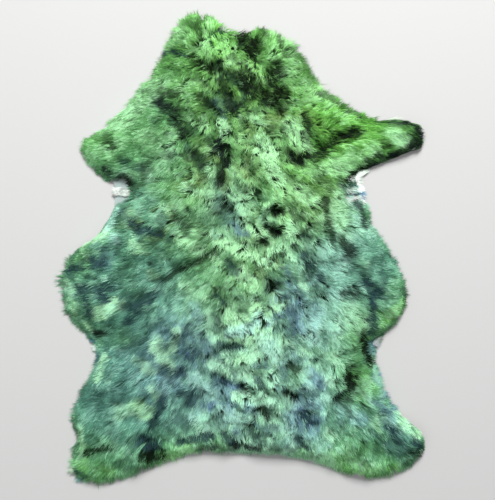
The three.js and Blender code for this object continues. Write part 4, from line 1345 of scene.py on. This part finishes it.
def skin_material():
    """Tanned suede, pale and a little mottled, with a cool stain on the side of the wool."""
    suede = Recipe("skin")
    mottle = suede.range(suede.noise(22.0, 4.0), 0.3, 0.7, 0.0, 1.0)
    colour = suede.mix(linear(SUEDE["pale"]), linear(SUEDE["dim"]), mottle)
    stain = suede.mix(linear(STAIN["pale"]), linear(STAIN["dim"]), mottle)
    colour = suede.mix(colour, stain, suede.attribute("stained"))
    grain = suede.range(suede.noise(900.0, 3.0), 0.25, 0.75, 0.9, 1.06)
    colour = suede.shade(colour, grain)
    nap = suede.bump(suede.noise(1400.0, 4.0), 0.35, 0.4 * MM)
    return suede.finish(
        Base_Color=colour, Roughness=0.85, Normal=nap, Specular_IOR_Level=0.2, Sheen_Weight=0.15,
    )


# The pieces

def make_skin():
    """The tanned skin: the model's cut and curls, with its edge softened."""
    skin = merged_copy("hide", "skin")
    bpy.ops.object.select_all(action="DESELECT")
    bpy.context.view_layer.objects.active = skin
    skin.select_set(True)
    edge = skin.modifiers.new("edge", "BEVEL")
    edge.width, edge.segments, edge.angle_limit = SKIN_ROUND, 2, math.radians(60)
    bpy.ops.object.modifier_apply(modifier=edge.name)
    bpy.ops.object.shade_smooth_by_angle(angle=math.radians(50))
    put(skin.data, "stained", [1.0 if vertex.normal.z > 0.5 else 0.0 for vertex in skin.data.vertices])
    skin.data.materials.append(skin_material())
    return skin


def make_underwool(land):
    """A closed lumpy shell under the locks, from just over the skin up to where they part."""
    low, high = np.array(cad_box[0])[:2], np.array(cad_box[1])[:2]
    i, j = np.meshgrid(*[np.arange(math.ceil(n / UNDER_STEP) + 1) for n in high - low], indexing="ij")
    shape = i.shape
    x, y = low[0] + i.ravel() * UNDER_STEP, low[1] + j.ravel() * UNDER_STEP
    inset = UNDER_INSET + np.maximum(-land.read("reach", x, y), 0)
    inside = land.read("inside", x, y) - inset
    on = (inside > -0.5 * UNDER_STEP).reshape(shape)
    pull = np.where(inside < 0.5 * UNDER_STEP, inside, 0)
    x = x + pull * land.read("out x", x, y)
    y = y + pull * land.read("out y", x, y)
    ground, height = land.read("ground", x, y), land.read("height", x, y)
    rough = 0.8 + 0.4 * cloud(x, y, 14, layer=15)
    top = ground + UNDER_LEAST + UNDERWOOL * height * rough
    number = np.arange(x.size).reshape(shape)
    full = on[:-1, :-1] & on[1:, :-1] & on[1:, 1:] & on[:-1, 1:]
    quads = np.stack([number[:-1, :-1], number[1:, :-1], number[1:, 1:], number[:-1, 1:]], axis=2)[full]
    count = x.size
    bottom = quads[:, ::-1] + count
    sides = np.concatenate([quads[:, [k, (k + 1) % 4]] for k in range(4)])
    seen = {tuple(side) for side in sides.tolist()}
    walls = [(b, a, a + count, b + count) for a, b in seen if (b, a) not in seen]
    places = np.column_stack([np.tile(x, 2), np.tile(y, 2), np.concatenate([top, ground + UNDER_GAP])])
    mesh = bpy.data.meshes.new("underwool")
    mesh.from_pydata(places.tolist(), [], quads.tolist() + bottom.tolist() + walls)
    # Painted shadow: the underwool is near black under the partings
    depth = np.zeros(len(places))
    for at, x0, y0, x1, y1, reach, dye, strength, sink in PARTINGS:
        depth = np.maximum(depth, strength * parted(places[:, 0], places[:, 1], (x0, y0), (x1, y1), reach))
    put(mesh, "parted", depth)
    work = bmesh.new()
    work.from_mesh(mesh)
    bmesh.ops.delete(work, geom=[v for v in work.verts if not v.link_faces], context="VERTS")
    work.to_mesh(mesh)
    work.free()
    mesh.polygons.foreach_set("use_smooth", np.ones(len(mesh.polygons), bool))
    mesh.materials.append(underwool_material())
    return placed("underwool", mesh)


def make_wool(land):
    """All the locks, as one piece for each part of the pelt."""
    locks = join_locks(spread_locks(land), loose_tufts())
    strands = comb_strands(locks, land)
    took = dye_strands(strands)
    material = wool_material()
    made, upper = [], np.inf
    for name, lower in PIECES:
        chosen = (strands["home"] <= upper) & (strands["home"] > lower * MM)
        piece = strands_mesh(name, strands, took, np.flatnonzero(chosen))
        piece.data.materials.append(material)
        made.append(piece)
        upper = lower * MM
        print(name, int(chosen.sum()), "strands")
    return made


# The studio

def make_camera():
    data = bpy.data.cameras.new("camera")
    data.lens, data.sensor_width = LENS, SENSOR
    camera = placed("camera", data)
    frame_side = max(PHOTO_SIZE) * PHOTO_SCALE
    camera.location = (*PHOTO_MIDDLE, frame_side * LENS / SENSOR + EDGE_HEIGHT)
    bpy.context.scene.camera = camera


def make_light(name, place, size, power):
    data = bpy.data.lights.new(name, "AREA")
    data.energy, data.size = power, size
    light = placed(name, data)
    light.location = place
    light.rotation_euler = (-Vector(place)).to_track_quat("-Z", "Y").to_euler()


def make_studio():
    bpy.ops.object.select_all(action="DESELECT")
    bpy.ops.mesh.primitive_plane_add(size=14, location=(0, 0, -0.2 * MM))
    floor = bpy.context.object
    floor.name = "floor"
    paper = Recipe("paper")
    floor.data.materials.append(paper.finish(Base_Color=(0.5, 0.5, 0.49, 1.0), Roughness=0.9))
    for lamp in LAMPS:
        make_light(*lamp)
    world = bpy.data.worlds.new("studio")
    world.use_nodes = True
    world.node_tree.nodes["Background"].inputs["Color"].default_value = (0.95, 0.97, 1.0, 1.0)
    world.node_tree.nodes["Background"].inputs["Strength"].default_value = 0.35
    bpy.context.scene.world = world
    bpy.context.scene.view_settings.view_transform = "Standard"


make_camera()
make_studio()
skin = make_skin()
wool_form = merged_copy("fleece", "wool_form")
land = Land(skin, wool_form)
bpy.data.objects.remove(wool_form)
underwool = make_underwool(land)
wool = make_wool(land)

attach(skin, "root")
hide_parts("hide")
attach(underwool, "root")
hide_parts("fleece")
for piece in wool:
    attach(piece, "root")
    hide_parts("fleece")
